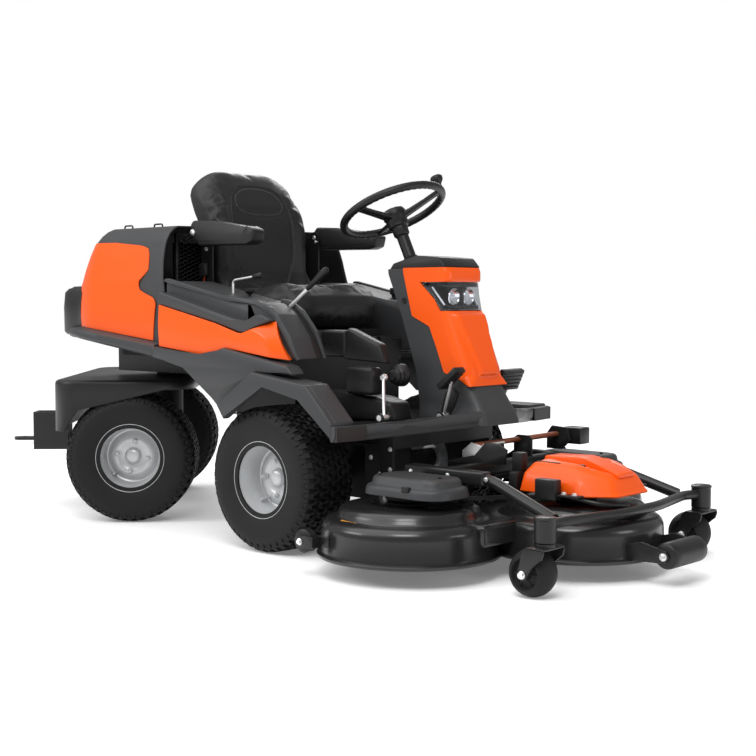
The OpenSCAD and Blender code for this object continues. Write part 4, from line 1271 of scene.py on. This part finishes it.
# %% [markdown]
# ## The foot platform
# The platform is a steel floor with a folded front that runs to a blunt point, like a ship's bow.
# A moulded lip covers its edge. The lip is a bar of constant section bent along the edge, so it is
# swept along a path, and the floor gets a ribbed mat.


# %% Lip, floor and mat
def swept_lip(path, section, up=Vector((0, 0, 1))):
    work = bmesh.new()
    rings = []
    for i, p in enumerate(path):
        back = (p - path[i - 1]).normalized() if i else None
        ahead = (path[i + 1] - p).normalized() if i < len(path) - 1 else None
        along = ((back or ahead) + (ahead or back)).normalized()
        out = along.cross(up).normalized()
        stretch = 1 / max(0.5, out.dot((back or ahead).cross(up).normalized()))
        rings.append([work.verts.new(p + out * a * stretch / 1000 + up * b / 1000) for a,
                      b in section])
    join_rings(work, rings)
    close_ends(work, rings)
    return work


LIP_SECTION = [(-10, -42), (-6, -46), (2, -44), (10, -30), (12, -8), (9, -1), (3, 1), (-8, 0),
               (-16, -3), (-18, -10)]
edge = [at(358, -532, 420), at(364, -432, 418), at(430, -296, 427), at(548, -80, 448)]
lip_right = piece("platform_lip_right", swept_lip(edge, LIP_SECTION), "grey", "chassis", (),
                  35)
edge = [at(548, 80, 448), at(430, 296, 427), at(364, 432, 418), at(358, 532, 420)]
lip_left = piece("platform_lip_left", swept_lip(edge, LIP_SECTION), "grey", "chassis", (),
                 35)
for obj in (lip_right, lip_left):
    round_edges(obj, 2, 2, 50)
softened("foot_platform", "frame", 1.2)
mat = bmesh.new()
for side in BOTH:
    outline = [(214, side * 262), (214, side * 424), (350, side * 424), (528, side * 100),
               (320, side * 100), (200, side * 100)]
    add_plate(mat, outline if side > 0 else outline[::-1], 404, 408, 1.5)
    for k in range(13):
        x = 222 + 22 * k
        reach = min(420, 424 - max(0, x - 350) * 324 / 178) - 6
        if reach > 120:
            y0, y1 = sorted((side * 106, side * reach))
            add_block(mat, (x, y0, 407), (x + 9, y1, 411), 1.2)
piece("floor_mat", mat, "rubber", "chassis", (), 40)
nose = bmesh.new()
add_block(nose, (540, -74, 404), (566, 74, 414), 3)
for side in BOTH:
    add_rod(nose, at(552, side * 60, 402), at(552, side * 60, 418), 8)
piece("nose_plate", nose, "zinc", "chassis")
print("platform dressed")

# %% [markdown]
# ## The steering tower
# The tower is one moulded column whose front bends twice on its way down. An orange skin wraps its
# front and sides, and stops at a stepped rear edge. We loft both from the same two lines, so that
# the skin always sits a few millimetres proud of the column.

# %% The lines the tower follows
TOWER_REAR = [(404, 318), (560, 296), (735, 235), (868, 178), (890, 176)]
TOWER_FRONT = [(404, 572), (440, 564), (520, 516), (575, 502), (750, 428), (800, 416), (845, 410),
               (890, 409)]
SKIN_EDGE = [(523, 508), (545, 470), (562, 412), (640, 381), (704, 352), (736, 281), (874, 244)]
CORNER = [(404, 24), (500, 40), (600, 40), (700, 34), (760, 30), (890, 26)]


def smooth_step(value, start, end):
    t = max(0.0, min(1.0, (value - start) / (end - start)))
    return t * t * (3 - 2 * t)


def tower_row(z, rear, half, proud, sides=12, turns=9, fronts=34):
    """One level round the tower, from the right rear edge round the front to the left rear edge."""
    front = read_off(TOWER_FRONT, z) + proud
    corner = min(read_off(CORNER, z) + proud, (front - rear) * 0.8)
    right = [(rear + (front - corner - rear) * i / sides, -half) for i in range(sides)]
    right += [(front - corner + corner * math.sin(a), -half + corner - corner * math.cos(a))
              for a in (math.pi / 2 * i / turns for i in range(turns))]
    middle = [(front, (half - corner) * (2 * i / fronts - 1)) for i in range(fronts + 1)]
    return right + middle + [(x, -y) for x, y in right[::-1]]


def raised_panel(y, z):
    """How far the middle of the orange skin stands forward, in millimetres."""
    reach = read_off([(523, 34), (560, 40), (585, 44), (740, 72), (890, 72)], z)
    middle = 1 - smooth_step(abs(y), reach - 4, reach + 6)
    return 13 * middle * smooth_step(z, 548, 562) * (1 - smooth_step(z, 736, 752))


def loft(rows, closed=False, caps=False):
    work = bmesh.new()
    rings = [[work.verts.new(p) for p in row] for row in rows]
    (join_rings if closed else join_rows)(work, rings)
    if caps:
        close_ends(work, rings)
    return work


# %% The dark column
def column_half(z):
    return 90 if z > 470 else 90 + 8 * smooth_step(470 - z, 0, 60)


levels = [404 + 6 * i for i in range(81)]
tower_body = piece("tower_body", loft([[at(x, y, z) for x, y in tower_row(
    z, read_off(TOWER_REAR, z), column_half(z), 0)] for z in levels], True, True),
    "grey", BODY_OF["tower_shell"], ("tower_shell",), smooth=30)
notch = bmesh.new()
add_slab(notch, [(336, 838), (382, 787), (404, 757), (700, 757), (700, 838)], -200, 200, 0)
pocket = piece("lamp_pocket", notch, "black", BODY_OF["tower_shell"])


def cut(obj, tool, how="DIFFERENCE"):
    step = obj.modifiers.new("cut", "BOOLEAN")
    step.operation = how
    step.object = tool
    apply_step(obj, step)


cut(tower_body, pocket)
round_edges(tower_body, 5, 3, 40)
details = bmesh.new()
for side in BOTH:
    add_slab(details, [(392, 408), (432, 408), (470, 500), (446, 520), (420, 500)],
             side * 93, side * 96, 1.2)
    add_turned(details, at(246, side * 91.5, 784), (0, side, 0),
               [(0, 0), (0, 9), (1.5, 9), (1.5, 6), (0.4, 5), (0.4, 0)])
piece("tower_details", details, "black", BODY_OF["tower_shell"])
print("tower body", len(tower_body.data.vertices), "points")


# %% The orange skin and its visor
def skin_mesh(proud):
    rows = []
    for i in range(92):
        z = 523 + 4 * i
        band = 9 * smooth_step(z, 838, 848) * (1 - 0.6 * smooth_step(z, 872, 888))
        row = tower_row(z, read_off(SKIN_EDGE, z), 90 + proud, proud)
        front = read_off(TOWER_FRONT, z)
        rows.append([at(x + (raised_panel(y, z) + band) * smooth_step(x, front - 50, front - 4), y,
                        z)
                     for x, y in row])
    return loft(rows)


skin = piece("tower_skin", skin_mesh(4), "orange", BODY_OF["tower_cover"], ("tower_cover",),
             smooth=50)
thicken(skin, 3.5, apply=True)
window = bmesh.new()
add_slab(window, [(312, 842), (372, 788), (396, 752), (700, 752), (700, 842)], -200, 200, 0)
opening = piece("lamp_window", window, "black", BODY_OF["tower_cover"])
cut(skin, opening)
round_edges(skin, 1.4, 3, 50)
lens_rows = []
for i in range(26):
    z = 749 + 3.8 * i
    lens_rows.append([at(x, y, z) for x, y in tower_row(z, 300, 93.2, 3.2)])
lens_skin = piece("headlight_glass", loft(lens_rows), "clear", BODY_OF["headlight_lens"],
                  ("headlight_lens",))
thicken(lens_skin, 2.2, apply=True)
window = bmesh.new()
add_slab(window, [(316, 841), (374, 788.5), (398, 753), (700, 753), (700, 841)], -200, 200, 0)
trim = piece("lens_trim", window, "black", BODY_OF["tower_cover"])
cut(lens_skin, trim, "INTERSECT")
for tool in (pocket, opening, trim):
    bpy.data.objects.remove(tool)
print("skin", len(skin.data.vertices), "lens", len(lens_skin.data.vertices), "points")

# %% Lamps behind the glass
lamp = bmesh.new()
chrome = bmesh.new()
glow = bmesh.new()
for side in BOTH:
    add_turned(chrome, at(384, side * 36, 797), (1, 0, -0.08),
               [(0, 0), (0, 12), (10, 24), (20, 27), (21, 25), (14, 20), (6, 8), (6, 0)])
    add_turned(glow, at(390, side * 36, 797), (1, 0, -0.08),
               [(0, 0), (0, 13), (8, 12), (12, 8), (14, 0)])
    add_slab(lamp, [(340, 834), (352, 834), (404, 762), (392, 762)], side * 62, side * 80, 1.5)
    add_bar(glow, [at(356, side * 82, 826), at(380, side * 84, 800), at(403, side * 80, 770)], 3.2,
            10)
add_block(lamp, (396, -4, 762), (412, 4, 832), 1.5)
add_block(lamp, (372, -80, 757.5), (410, 80, 768), 2)
add_block(lamp, (372, -80, 826), (408, 80, 837.5), 2)
piece("lamp_frame", lamp, "black", BODY_OF["tower_shell"])
piece("lamp_bowls", chrome, "chrome", BODY_OF["tower_shell"])
piece("lamp_modules", glow, "white", BODY_OF["tower_shell"])

# %% Dash cap
cap = bmesh.new()
add_slab(cap, [(172, 872), (196, 902), (290, 926), (384, 918), (410, 890), (404, 884), (180, 866)],
         -88, 88, 13, segments=4)
piece("dash_top", cap, "black", BODY_OF["dash_cap"], ("dash_cap",))
dash = bmesh.new()
add_turned(dash, at(201.5, 0, 905), (-0.438, 0, 0.899),
           [(-14, 0), (-14, 33), (0, 32), (4, 28), (8, 29), (12, 25), (16, 26), (20, 22.5),
            (24, 0)])
for y in (-58, 58):
    add_turned(dash, at(250, y, 914), (-0.25, 0, 0.97), [(0, 0), (0, 12), (5, 11), (6, 9), (6, 0)])
piece("column_gaiter", dash, "rubber", BODY_OF["dash_cap"])

# %% [markdown]
# ## Steering wheel and column
# The column leans back at the driver. We draw the wheel flat round its own axis and lean it with one
# matrix. Small ripples under the rim give the fingers a grip.

# %% Steering
COLUMN_LEAN = math.radians(-26)
COLUMN = Matrix.Translation(at(117, 0, 1078)) @ Matrix.Rotation(COLUMN_LEAN, 4, "Y")
RIM_RADIUS, RIM_THICKNESS = 169, 13


def on_column(radius, angle, up):
    a = math.radians(angle)
    return COLUMN @ Vector((radius / 1000 * math.cos(a), radius / 1000 * math.sin(a), up / 1000))


UP_COLUMN = COLUMN.to_3x3() @ Vector((0, 0, 1))
rim_rows = []
for i in range(145):
    row = []
    for k in range(20):
        a = 2 * math.pi * k / 20
        grip = 0.9 * math.sin(2 * math.pi * i / 3.0) * max(0.0, -math.cos(a - 0.7))
        row.append(on_column(RIM_RADIUS + (RIM_THICKNESS + grip) * math.cos(a), 2.5 * i,
                             (RIM_THICKNESS + grip) * math.sin(a)))
    rim_rows.append(row)
wheel = loft(rim_rows, True)
for angle in (-90, 30, 150):
    for shift in (-7, 7):
        path = [on_column(math.hypot(r, shift), angle + math.degrees(math.atan2(shift, r)), up)
                for r, up in ((26, -30), (60, -24), (110, -14), (150, -5), (164, -2))]
        add_bar(wheel, path, [11, 9, 7.5, 7.5, 9], 12, 0.9, UP_COLUMN)
    add_bar(wheel, [on_column(r, angle, up) for r,
                    up in ((26, -34), (60, -27), (110, -17), (150, -8), (162, -5))],
            [17, 14, 12, 12, 14], 12, 0.28, UP_COLUMN)
add_turned(wheel, COLUMN @ Vector((0, 0, 0)), UP_COLUMN,
           [(-94, 0), (-94, 23), (-90, 26), (-66, 27), (-62, 33), (-36, 36), (-30, 40), (-12, 40),
            (-4, 37),
            (0, 30), (1.6, 26), (1.6, 0)], 10)
piece("steering_wheel_rim", wheel, "black", BODY_OF["steering_wheel"], ("steering_wheel",),
      smooth=35)
post = bmesh.new()
add_turned(post, COLUMN @ Vector((0, 0, 0)), UP_COLUMN,
           [(-200, 0), (-200, 20), (-99, 20), (-97, 18), (-97, 0)], 32)
piece("column_tube", post, "black", BODY_OF["steering_column"], ("steering_column",))
knob = bmesh.new()
add_turned(knob, on_column(RIM_RADIUS, 38, 0), UP_COLUMN,
           [(13.2, 0), (13.2, 9), (27, 9), (31, 10), (36, 15), (44, 20), (53, 21), (58, 18),
            (61, 11), (61.6, 0)])
piece("spinner_knob", knob, "black", BODY_OF["steering_knob"], ("steering_knob",))
print("steering done")

# %% [markdown]
# ## Levers and pedals
# Each control is bright rod with a black grip or pad, and each rides with its own joint.

# %% Hand controls
rod = bmesh.new()
add_bar(rod, bent([at(-262, -360, 745), at(-262, -360, 850), at(-138, -360, 864)], 14), 4, 12)
piece("throttle_rod", rod, "zinc", BODY_OF["throttle_lever"], ("throttle_lever",))
grip = bmesh.new()
add_turned(grip, at(-164, -360, 861), (124, 0, 14),
           [(0, 0), (0, 6), (4, 8), (34, 9), (40, 7), (43, 0)], 20)
piece("throttle_grip", grip, "black", BODY_OF["throttle_lever"])
button = bmesh.new()
add_turned(button, at(-215, -330, 745), (0, 0, 1),
           [(0, 0), (0, 5), (58, 5), (60, 9), (64, 14), (70, 17), (75, 16), (77, 0)])
piece("blade_switch", button, "black", BODY_OF["pto_knob"], ("pto_knob",))
bar = bmesh.new()
reach = at(190, 0, 135) - at(0, 0, 0)
foot = at(-170, -360, 640)
add_turned(bar, at(-170, -370, 640), (0, 1, 0), [(0, 0), (0, 16), (20, 16), (20, 0)], 24)
add_bar(bar, [foot + reach * 0.04, foot + reach * 1.38], 6.5, 12, 0.5, Vector((0, 1, 0)))
piece("lift_bar", bar, "zinc", BODY_OF["lift_lever"], ("lift_lever",))
grip = bmesh.new()
add_turned(grip, foot + reach * 1.33, reach, [(0, 0), (0, 6), (6, 7), (84, 11.5), (98, 11), (106,
    7), (108, 0)], 20)
piece("lift_grip", grip, "black", BODY_OF["lift_lever"])
print("hand controls done")


# %% Pedals
def leaning(centre, lean):
    turn = Matrix.Translation(at(*centre)) @ Matrix.Rotation(math.radians(lean), 4, "Y")
    return lambda x, y, z: turn @ Vector((x / 1000, y / 1000, z / 1000))


def pedal(name, node, foot, centre, lean, pad, look="black"):
    face = bmesh.new()
    place = leaning(centre, lean)
    add_block(face, (-14, -pad[1] / 2, -pad[0] / 2), (5, pad[1] / 2, pad[0] / 2), 3.5, place)
    for k in range(int(pad[0] / 13)):
        low = -pad[0] / 2 + 7 + 13 * k
        add_block(face, (4, -pad[1] / 2 + 5, low), (8, pad[1] / 2 - 5, low + 5), 1, place)
    piece(name + "_pad", face, look, BODY_OF[node], (node,))
    arm = bmesh.new()
    add_bar(arm, [at(*foot), at(*centre)], 5, 12)
    add_turned(arm, at(foot[0], foot[1] - 23, foot[2]), (0, 1, 0),
               [(0, 0), (0, 9), (46, 9), (46, 0)], 20)
    piece(name + "_arm", arm, "zinc", BODY_OF[node])


pedal("drive_pedal", "forward_pedal", (430, -116, 430), (478, -136, 545), 50, (90, 48))
pedal("parking_pedal", "brake_pedal", (420, 170, 430), (470, 170, 530), 25, (70, 110))
rod = bmesh.new()
add_bar(rod, bent([at(340, -290, 430), at(298, -246, 538), at(292, -232, 551)], 12), 5, 12)
add_turned(rod, at(340, -313, 430), (0, 1, 0), [(0, 0), (0, 9), (46, 9), (46, 0)], 20)
add_turned(rod, at(292, -246, 548), (0, 1, 0),
           [(0, 0), (0, 8), (3, 10), (16, 10), (19, 7), (19, 0)], 20)
piece("reverse_rod", rod, "zinc", BODY_OF["reverse_pedal"], ("reverse_pedal",))
gaiter = bmesh.new()
add_turned(gaiter, at(290, -150, 552), (0, -1, 0),
           [(0, 0), (0, 36), (14, 35), (20, 30), (26, 31), (32, 24), (38, 25), (44, 16), (52, 14),
            (54, 0)])
add_block(gaiter, (150, -262, 492), (262, -206, 578), 12, segments=3)
add_block(gaiter, (20, -240, 606), (128, -180, 690), 10, segments=3)
add_slab(gaiter, [(112, 600), (292, 590), (268, 650), (132, 700)], -236, -196, 9, segments=3)
add_slab(gaiter, [(-80, 410), (330, 410), (316, 470), (250, 486), (130, 492), (-80, 500)], -236,
         -140, 12, segments=3)
piece("under_seat_boxes", gaiter, "black", BODY_OF["seat_pedestal"])
warm = bmesh.new()
add_turned(warm, at(150, -205, 628), (0, -1, 0), [(0, 0), (0, 20), (20, 22), (26, 18), (27, 0)], 24)
piece("solenoid", warm, "copper", BODY_OF["seat_pedestal"])
print("pedals done")

# %% [markdown]
# ## Chassis, engine and rear carriage
# These parts sit in shade, so a broken edge and the right surface are enough.

# %% Chassis
for node, look, width in (
        ("main_frame", "frame", 2), ("front_transaxle", "cast", 5), ("engine", "cast", 5),
        ("fuel_tank", "black", 10),
        ("battery", "black", 5), ("radiator_screen", "screen", 1), ("seat_pedestal", "black", 9),
        ("rear_axle", "cast", 5), ("tow_hitch", "frame", 2)):
    softened(node, look, width)
bits = bmesh.new()
for side in BOTH:
    for x, z in ((330, 268), (286, 250), (250, 300), (330, 330), (140, 360)):
        add_bolt(bits, at(x, side * 250, z), (0, side, 0), 6)
    add_bolt(bits, at(310, side * 251, 205), (0, side, 0), 9)
piece("frame_bolts", bits, "zinc", BODY_OF["main_frame"])
hitch = bmesh.new()
for y in (-20, 20):
    for z in (232, 330):
        add_bolt(hitch, on_carriage(-519, y, z), CARRIAGE.to_3x3() @ Vector((-1, 0, 0)), 6)
piece("hitch_bolts", hitch, "zinc", BODY_OF["tow_hitch"])
loom = bmesh.new()
for shift in range(4):
    add_bar(loom, bent([at(-120, -150 - 18 * shift, 390),
                        at(60, -190 - 14 * shift, 384 - 5 * shift),
                        at(220, -205 - 12 * shift, 392 - 4 * shift),
                        at(400, -225 - 8 * shift, 390)], 60), 5, 10)
piece("hoses", loom, "rubber", BODY_OF["foot_platform"])
print("chassis done")

# %% [markdown]
# ## The deck shell
# The mower deck is three pressed rings with rounded shoulders, joined by a plate. Each ring is turned
# like a bowl: a skid flange at the bottom, a small step, a straight wall, then a soft shoulder.

# %% Deck shell
SPINDLES = [(840, 0), (530, -390), (530, 390)]
BOWL = [(55, 249), (55, 265), (58, 268), (64, 268), (67, 264), (69, 258), (76, 256), (130, 254)]
BOWL += [(z, r) for z, r in ((140, 253), (149, 250), (157, 244), (163, 234), (166, 222),
                             (168, 214))]
BOWL += [(173, 209), (182, 205), (191, 200), (197, 192), (200, 180), (200, 0)]
INNER = [(196, 0), (196, 180), (188, 198), (160, 214), (158, 236), (148, 246), (130, 249),
         (55, 249)]
shell = bmesh.new()
for x, y in SPINDLES:
    add_turned(shell, at(x, y, 0), (0, 0, 1), BOWL, 120)
    add_turned(shell, at(x, y, 0), (0, 0, 1), INNER, 120)
add_block(shell, (512, -388, 100), (800, 388, 164), 14, segments=4)
piece("deck_pressing", shell, "deck", BODY_OF["deck_shell"], ("deck_shell",), smooth=50)
irons = bmesh.new()
for side in BOTH:
    add_slab(irons, [(1066, 66), (1066, 108), (1120, 122), (1178, 108), (1198, 104), (1207, 88),
                     (1198, 72), (1178, 68)],
             side * 91, side * 98, 2, segments=3)
    for y in (625, 662):
        add_slab(irons, [(346, 96), (346, 116), (356, 124), (382, 124),
                         (440 if y < 640 else 412, 122),
                         (440 if y < 640 else 412, 92), (376, 88), (356, 88)], side * y,
                         side * (y + 7), 2)
    add_block(irons, (404, side * 621, 90), (411, side * 665, 122), 2)
piece("roller_irons", irons, "frame", BODY_OF["deck_shell"])
label = bmesh.new()
add_plate(label, [(452, -596), (520, -604), (520, -588), (462, -576)], 167.2, 168.6, 0.4)
piece("amber_label", label, "amber", BODY_OF["deck_shell"])
print("deck shell done")


# %% Covers over the belt
def rounded_plan(x0, x1, y0, y1, radius, steps=8):
    points = []
    for cx, cy, start in ((x1 - radius, y1 - radius, 0), (x0 + radius, y1 - radius, 90),
                          (x0 + radius, y0 + radius, 180), (x1 - radius, y0 + radius, 270)):
        points += [(cx + radius * math.cos(math.radians(start + 90 * i / steps)),
                    cy + radius * math.sin(math.radians(start + 90 * i / steps)))
                    for i in range(steps + 1)]
    return points


def moulding(name, tiers, look, node, wall=3, side=1, replace=True, place=at, cap=True):
    """tiers holds (height, plan) levels from the bottom up; the underside stays open."""
    rows = [[place(x, side * y, height(x, y) if callable(height) else height) for x, y in plan]
            for height, plan in tiers]
    work = loft(rows, True)
    if cap:
        work.faces.new(list(work.verts)[-len(rows[-1]):])
    obj = piece(name, work, look, BODY_OF[node], (node,) if replace else (), smooth=32)
    thicken(obj, wall)
    return obj


def arch_height(x, y):
    """The fender's lower edge: an arch round each tyre, lower at the back and cut short in front."""
    if x > 40:
        return 470
    reach = 246 ** 2 - (x + 82) ** 2
    return max(322, 229 + math.sqrt(max(0, reach)))


fender_plan = [rounded_plan(-356 + inset, 138 - inset, inset - 496, 496 - inset, 96 - inset, 10)
               for inset in (0, 0, 0.5, 3, 9, 20)]
PIVOT_HOLE = 88
hub_ring = [tuple(Vector(p).normalized() * PIVOT_HOLE) for p in fender_plan[-1]]
moulding("fender_shell", list(zip((arch_height, 486, 492, 498, 502, 503.5, 503.5),
                                  fender_plan + [hub_ring])), "black",
         "rear_fender", 5, place=on_carriage, cap=False)

for side in BOTH:
    plans = [(232, 0), (234, -1), (250, 1), (255, 3), (259, 7), (261, 13), (263, 17), (266, 19),
             (276, 21),
             (281, 24), (284.5, 29), (286, 36)]
    tiers = [(z, rounded_plan(420 + inset, 720 - inset, 310 + inset, 500 - inset,
                              70 - min(inset, 30)))
             for z, inset in plans]
    moulding("side_cover_" + ("left" if side > 0 else "right"), tiers, "grey", "side_belt_covers",
             3, side, side < 0)
clips = bmesh.new()
for side in BOTH:
    add_block(clips, (596, side * 489, 252), (622, side * 503, 266), 2)
    add_bolt(clips, at(480, side * 462, 286), (0, 0, 1), 5)
    add_bolt(clips, at(660, side * 410, 286), (0, 0, 1), 5)
piece("cover_clips", clips, "black", BODY_OF["side_belt_covers"])


def lid_height(drop):
    return lambda x, y: read_off([(740, 322), (884, 323), (900, 320), (1034, 282)], x) - drop


def lid_plan(inset, radius=16, steps=4):
    """A long six-sided plan with its front corners cut off, and every corner rounded."""
    back, cut_x, tip = 740 + inset * 0.6, 944 - inset * 0.5, 1034 - inset * 0.7
    wide, narrow = 148 - inset, 84 - inset * 0.4
    corners = [Vector(p) for p in ((back, -wide), (cut_x, -wide), (tip, -narrow), (tip, narrow),
                                   (cut_x, wide), (back, wide))]
    points = []
    for i, corner in enumerate(corners):
        p = corner + (corners[i - 1] - corner).normalized() * radius
        q = corner + (corners[(i + 1) % 6] - corner).normalized() * radius
        points += [tuple(p.lerp(corner, k / steps).lerp(corner.lerp(q, k / steps), k / steps))
                   for k in range(steps + 1)]
    return points


tiers = [(232, lid_plan(0)), (236, lid_plan(-1))]
for drop, inset in ((40, 10), (36, 12), (12, 34), (9, 38), (4, 58), (2, 62)):
    tiers.append((lid_height(drop), lid_plan(inset)))
moulding("belt_lid", tiers, "orange", "belt_cover", 3)
marks = bmesh.new()
add_plate(marks, [(884, -70), (902, -56), (920, -70), (902, -84)], 300, 314, 1)
add_plate(marks, [(768, -98), (846, -98), (850, -94), (846, -90), (768, -90)], 300, 318, 0.8)
piece("lid_marks", marks, "black", BODY_OF["belt_cover"])
crest = bmesh.new()
add_slab(crest, [(746, 300), (756, 328), (876, 332), (894, 328), (1012, 294), (1012, 280),
                 (746, 286)], -40, 40, 5, segments=3)
piece("lid_crest", crest, "orange", BODY_OF["belt_cover"])
flank = bmesh.new()
add_block(flank, (826, -190, 222), (896, -156, 280), 4)
add_block(flank, (700, -128, 282), (734, -96, 340), 3)
add_block(flank, (706, -150, 236), (734, 150, 286), 4)
for side in BOTH:
    add_plate(flank, [(896, side * 150), (968, side * 150), (968, side * 184), (896, side * 184)],
              234, 240, 1.5)
piece("lid_side_block", flank, "black", BODY_OF["deck_frame"])
print("covers done")

# %% [markdown]
# ## Deck frame, casters and rollers
# Square beams carry the shell, and bent tube runs from post to post at the front. The casters hang
# from the posts in arched forks.

# %% Deck frame
tube = bmesh.new()
for side in BOTH:
    add_block(tube, (430, side * 262, 258), (728, side * 302, 298), 6, segments=3)
    add_bar(tube, bent([at(716, side * 282, 277), at(760, side * 286, 270),
                        at(990, side * 326, 196)], 40),
            17, 18)
    add_slab(tube, [(304, 187), (358, 187), (500, 262), (500, 298), (430, 298), (306, 226)],
             side * 250, side * 262, 2)
    add_turned(tube, at(310, side * 229, 205), (0, side, 0),
               [(0, 0), (0, 10), (20, 10), (20, 24), (33, 24), (33, 0)], 28)
    add_turned(tube, at(1022, side * 412, 150), (0, 0, 1),
               [(0, 0), (0, 28), (2, 30), (60, 30), (62, 32), (66, 32), (69, 27), (70, 0)], 32)
    for x in (442, 640):
        add_plate(tube, [(x - 12, side * 276), (x + 12, side * 276), (x + 12, side * 288),
                         (x - 12, side * 288)], 196, 262, 2)
front = [at(1022, -412, 190), at(1004, -336, 192), at(1058, -92, 193), at(1058, 92, 193),
         at(1004, 336, 192), at(1022, 412, 190)]
add_bar(tube, bent(front, 46, 8), 14.5, 20)
add_block(tube, (560, -262, 258), (590, 262, 298), 5, segments=3)
add_slab(tube, [(440, 294), (590, 294), (672, 300), (680, 344), (648, 360), (600, 362), (560, 318)],
         -126, -118, 2)
add_slab(tube, [(520, 288), (590, 288), (590, 352), (576, 362), (534, 362), (520, 352)], 122, 130,
         2)
add_bar(tube, bent([at(880, -150, 236), at(1000, -118, 214), at(1046, -40, 206)], 30), 7, 12)
piece("deck_tubes", tube, "frame", BODY_OF["deck_frame"], ("deck_frame",), smooth=35)
bright = bmesh.new()
for side in BOTH:
    add_turned(bright, at(310, side * 262, 205), (0, side, 0),
               [(0, 0), (0, 17), (3, 17), (5, 14), (5, 0)], 24)
    for x, y, z in ((742, 305, 280), (600, 303, 280), (460, 303, 280)):
        add_bolt(bright, at(x, side * y, z), (0, side, 0), 5.5)
    for x in (912, 948):
        add_bolt(bright, at(x, side * 168, 240), (0, 0, 1), 7)
add_slab(bright, [(505, 300), (620, 300), (640, 326), (600, 344), (540, 356), (505, 330)], -117.5,
         -114, 1)
add_rod(bright, at(560, 20, 348), at(540, -102, 344), 4)
add_rod(bright, at(748, -206, 262), at(664, -262, 262), 3.5)
piece("deck_bright_parts", bright, "zinc", BODY_OF["deck_frame"])
rod = bmesh.new()
add_rod(rod, at(540, -100, 346), at(540, 420, 350), 8.5)
piece("cross_rod", rod, "copper", BODY_OF["deck_frame"])
block = bmesh.new()
add_slab(block, [(500, 300), (560, 300), (592, 330), (580, 372), (520, 376), (500, 350)], 330, 338,
         2)
add_block(block, (548, 345, 318), (622, 402, 372), 5)
piece("left_bracket", block, "frame", BODY_OF["deck_frame"])
print("deck frame done")

# %% Spindles, belt and blades
for node, look, width in (("spindle_housings", "cast", 2), ("drive_belt", "rubber", 1.5),
                          ("blade_centre", "frame", 1),
                          ("blade_right", "frame", 1), ("blade_left", "frame", 1)):
    softened(node, look, width)

# %% Casters
CASTER_X, CASTER_Y, CASTER_R, STEM_X = 984, 412, 66, 1022
for side, word in SIDES:
    fork = bmesh.new()
    for y in (-1, 1):
        edge = sorted((CASTER_Y + y * 45, CASTER_Y + y * 51))
        add_slab(fork, [(968, 66), (971, 54), (984, 49), (997, 54), (1000, 64), (1012, 88),
                        (1046, 112), (1052, 130),
                        (1046, 140), (996, 140), (982, 128)], side * edge[0], side * edge[1], 2,
                        segments=3)
    add_block(fork, (994, side * 361, 133), (1050, side * 463, 140.4), 3, segments=3)
    add_turned(fork, at(STEM_X, side * CASTER_Y, 139), (0, 0, 1),
               [(0, 0), (0, 29), (9.5, 29), (9.5, 12), (60, 12), (60, 0)], 28)
    node = "caster_fork_" + word
    piece("fork_" + word, fork, "frame", BODY_OF[node], (node,))
    wheel = bmesh.new()
    profile = [(-42, 0), (-42, 14), (-38, 16), (-34, 17), (-30, 36), (-36, 40), (-41, 42),
               (-42, 46), (-38, 52), (-30, 58),
               (-18, 63), (-6, 65.6), (6, 65.6), (18, 63), (30, 58), (38, 52), (42, 46), (41, 42),
               (36, 40),
               (30, 36), (34, 17), (38, 16), (42, 14), (42, 0)]
    add_turned(wheel, at(CASTER_X, side * CASTER_Y, CASTER_R), (0, 1, 0), profile, 64)
    for k in range(6):
        a = math.radians(60 * k)
        for y in (-38, 38):
            add_bar(wheel, [at(CASTER_X + 14 * math.cos(a), side * CASTER_Y + y * 0.86,
                               CASTER_R + 14 * math.sin(a)),
                            at(CASTER_X + 38 * math.cos(a), side * CASTER_Y + y * 0.82,
                               CASTER_R + 38 * math.sin(a))], 3.5, 8)
    node = "caster_wheel_" + word
    piece("caster_" + word, wheel, "rubber", BODY_OF[node], (node,))
    axle = bmesh.new()
    for y in (-1, 1):
        add_turned(axle, at(CASTER_X, side * CASTER_Y + y * 51.4, CASTER_R), (0, y, 0),
                   [(0, 0), (0, 11), (2, 11), (3, 9), (8, 9), (10, 7), (10, 0)], 18)
    piece("caster_bolts_" + word, axle, "zinc", BODY_OF["caster_fork_" + word])

# %% Rollers
roller = bmesh.new()
add_turned(roller, at(1190, -88, 88), (0, 1, 0),
           [(0, 0), (0, 30), (3, 34), (8, 36.6), (30, 37), (146, 37), (168, 36.6),
                                                  (173, 34), (176, 30), (176, 0)], 48)
piece("front_roller_drum", roller, "black", BODY_OF["front_roller"], ("front_roller",))
ends = bmesh.new()
for side, word in SIDES:
    drum = bmesh.new()
    add_turned(drum, at(362, side * 643 - 15, 106), (0, 1, 0),
               [(0, 0), (0, 30), (3, 34), (27, 34), (30, 30), (30, 0)], 40)
    node = "rear_roller_" + word
    piece("side_roller_" + word, drum, "black", BODY_OF[node], (node,))
    add_bolt(ends, at(1190, side * 98, 88), (0, side, 0), 9)
    add_bolt(ends, at(362, side * 669, 106), (0, side, 0), 8)
piece("roller_bolts", ends, "zinc", BODY_OF["deck_shell"])
print("casters and rollers done")
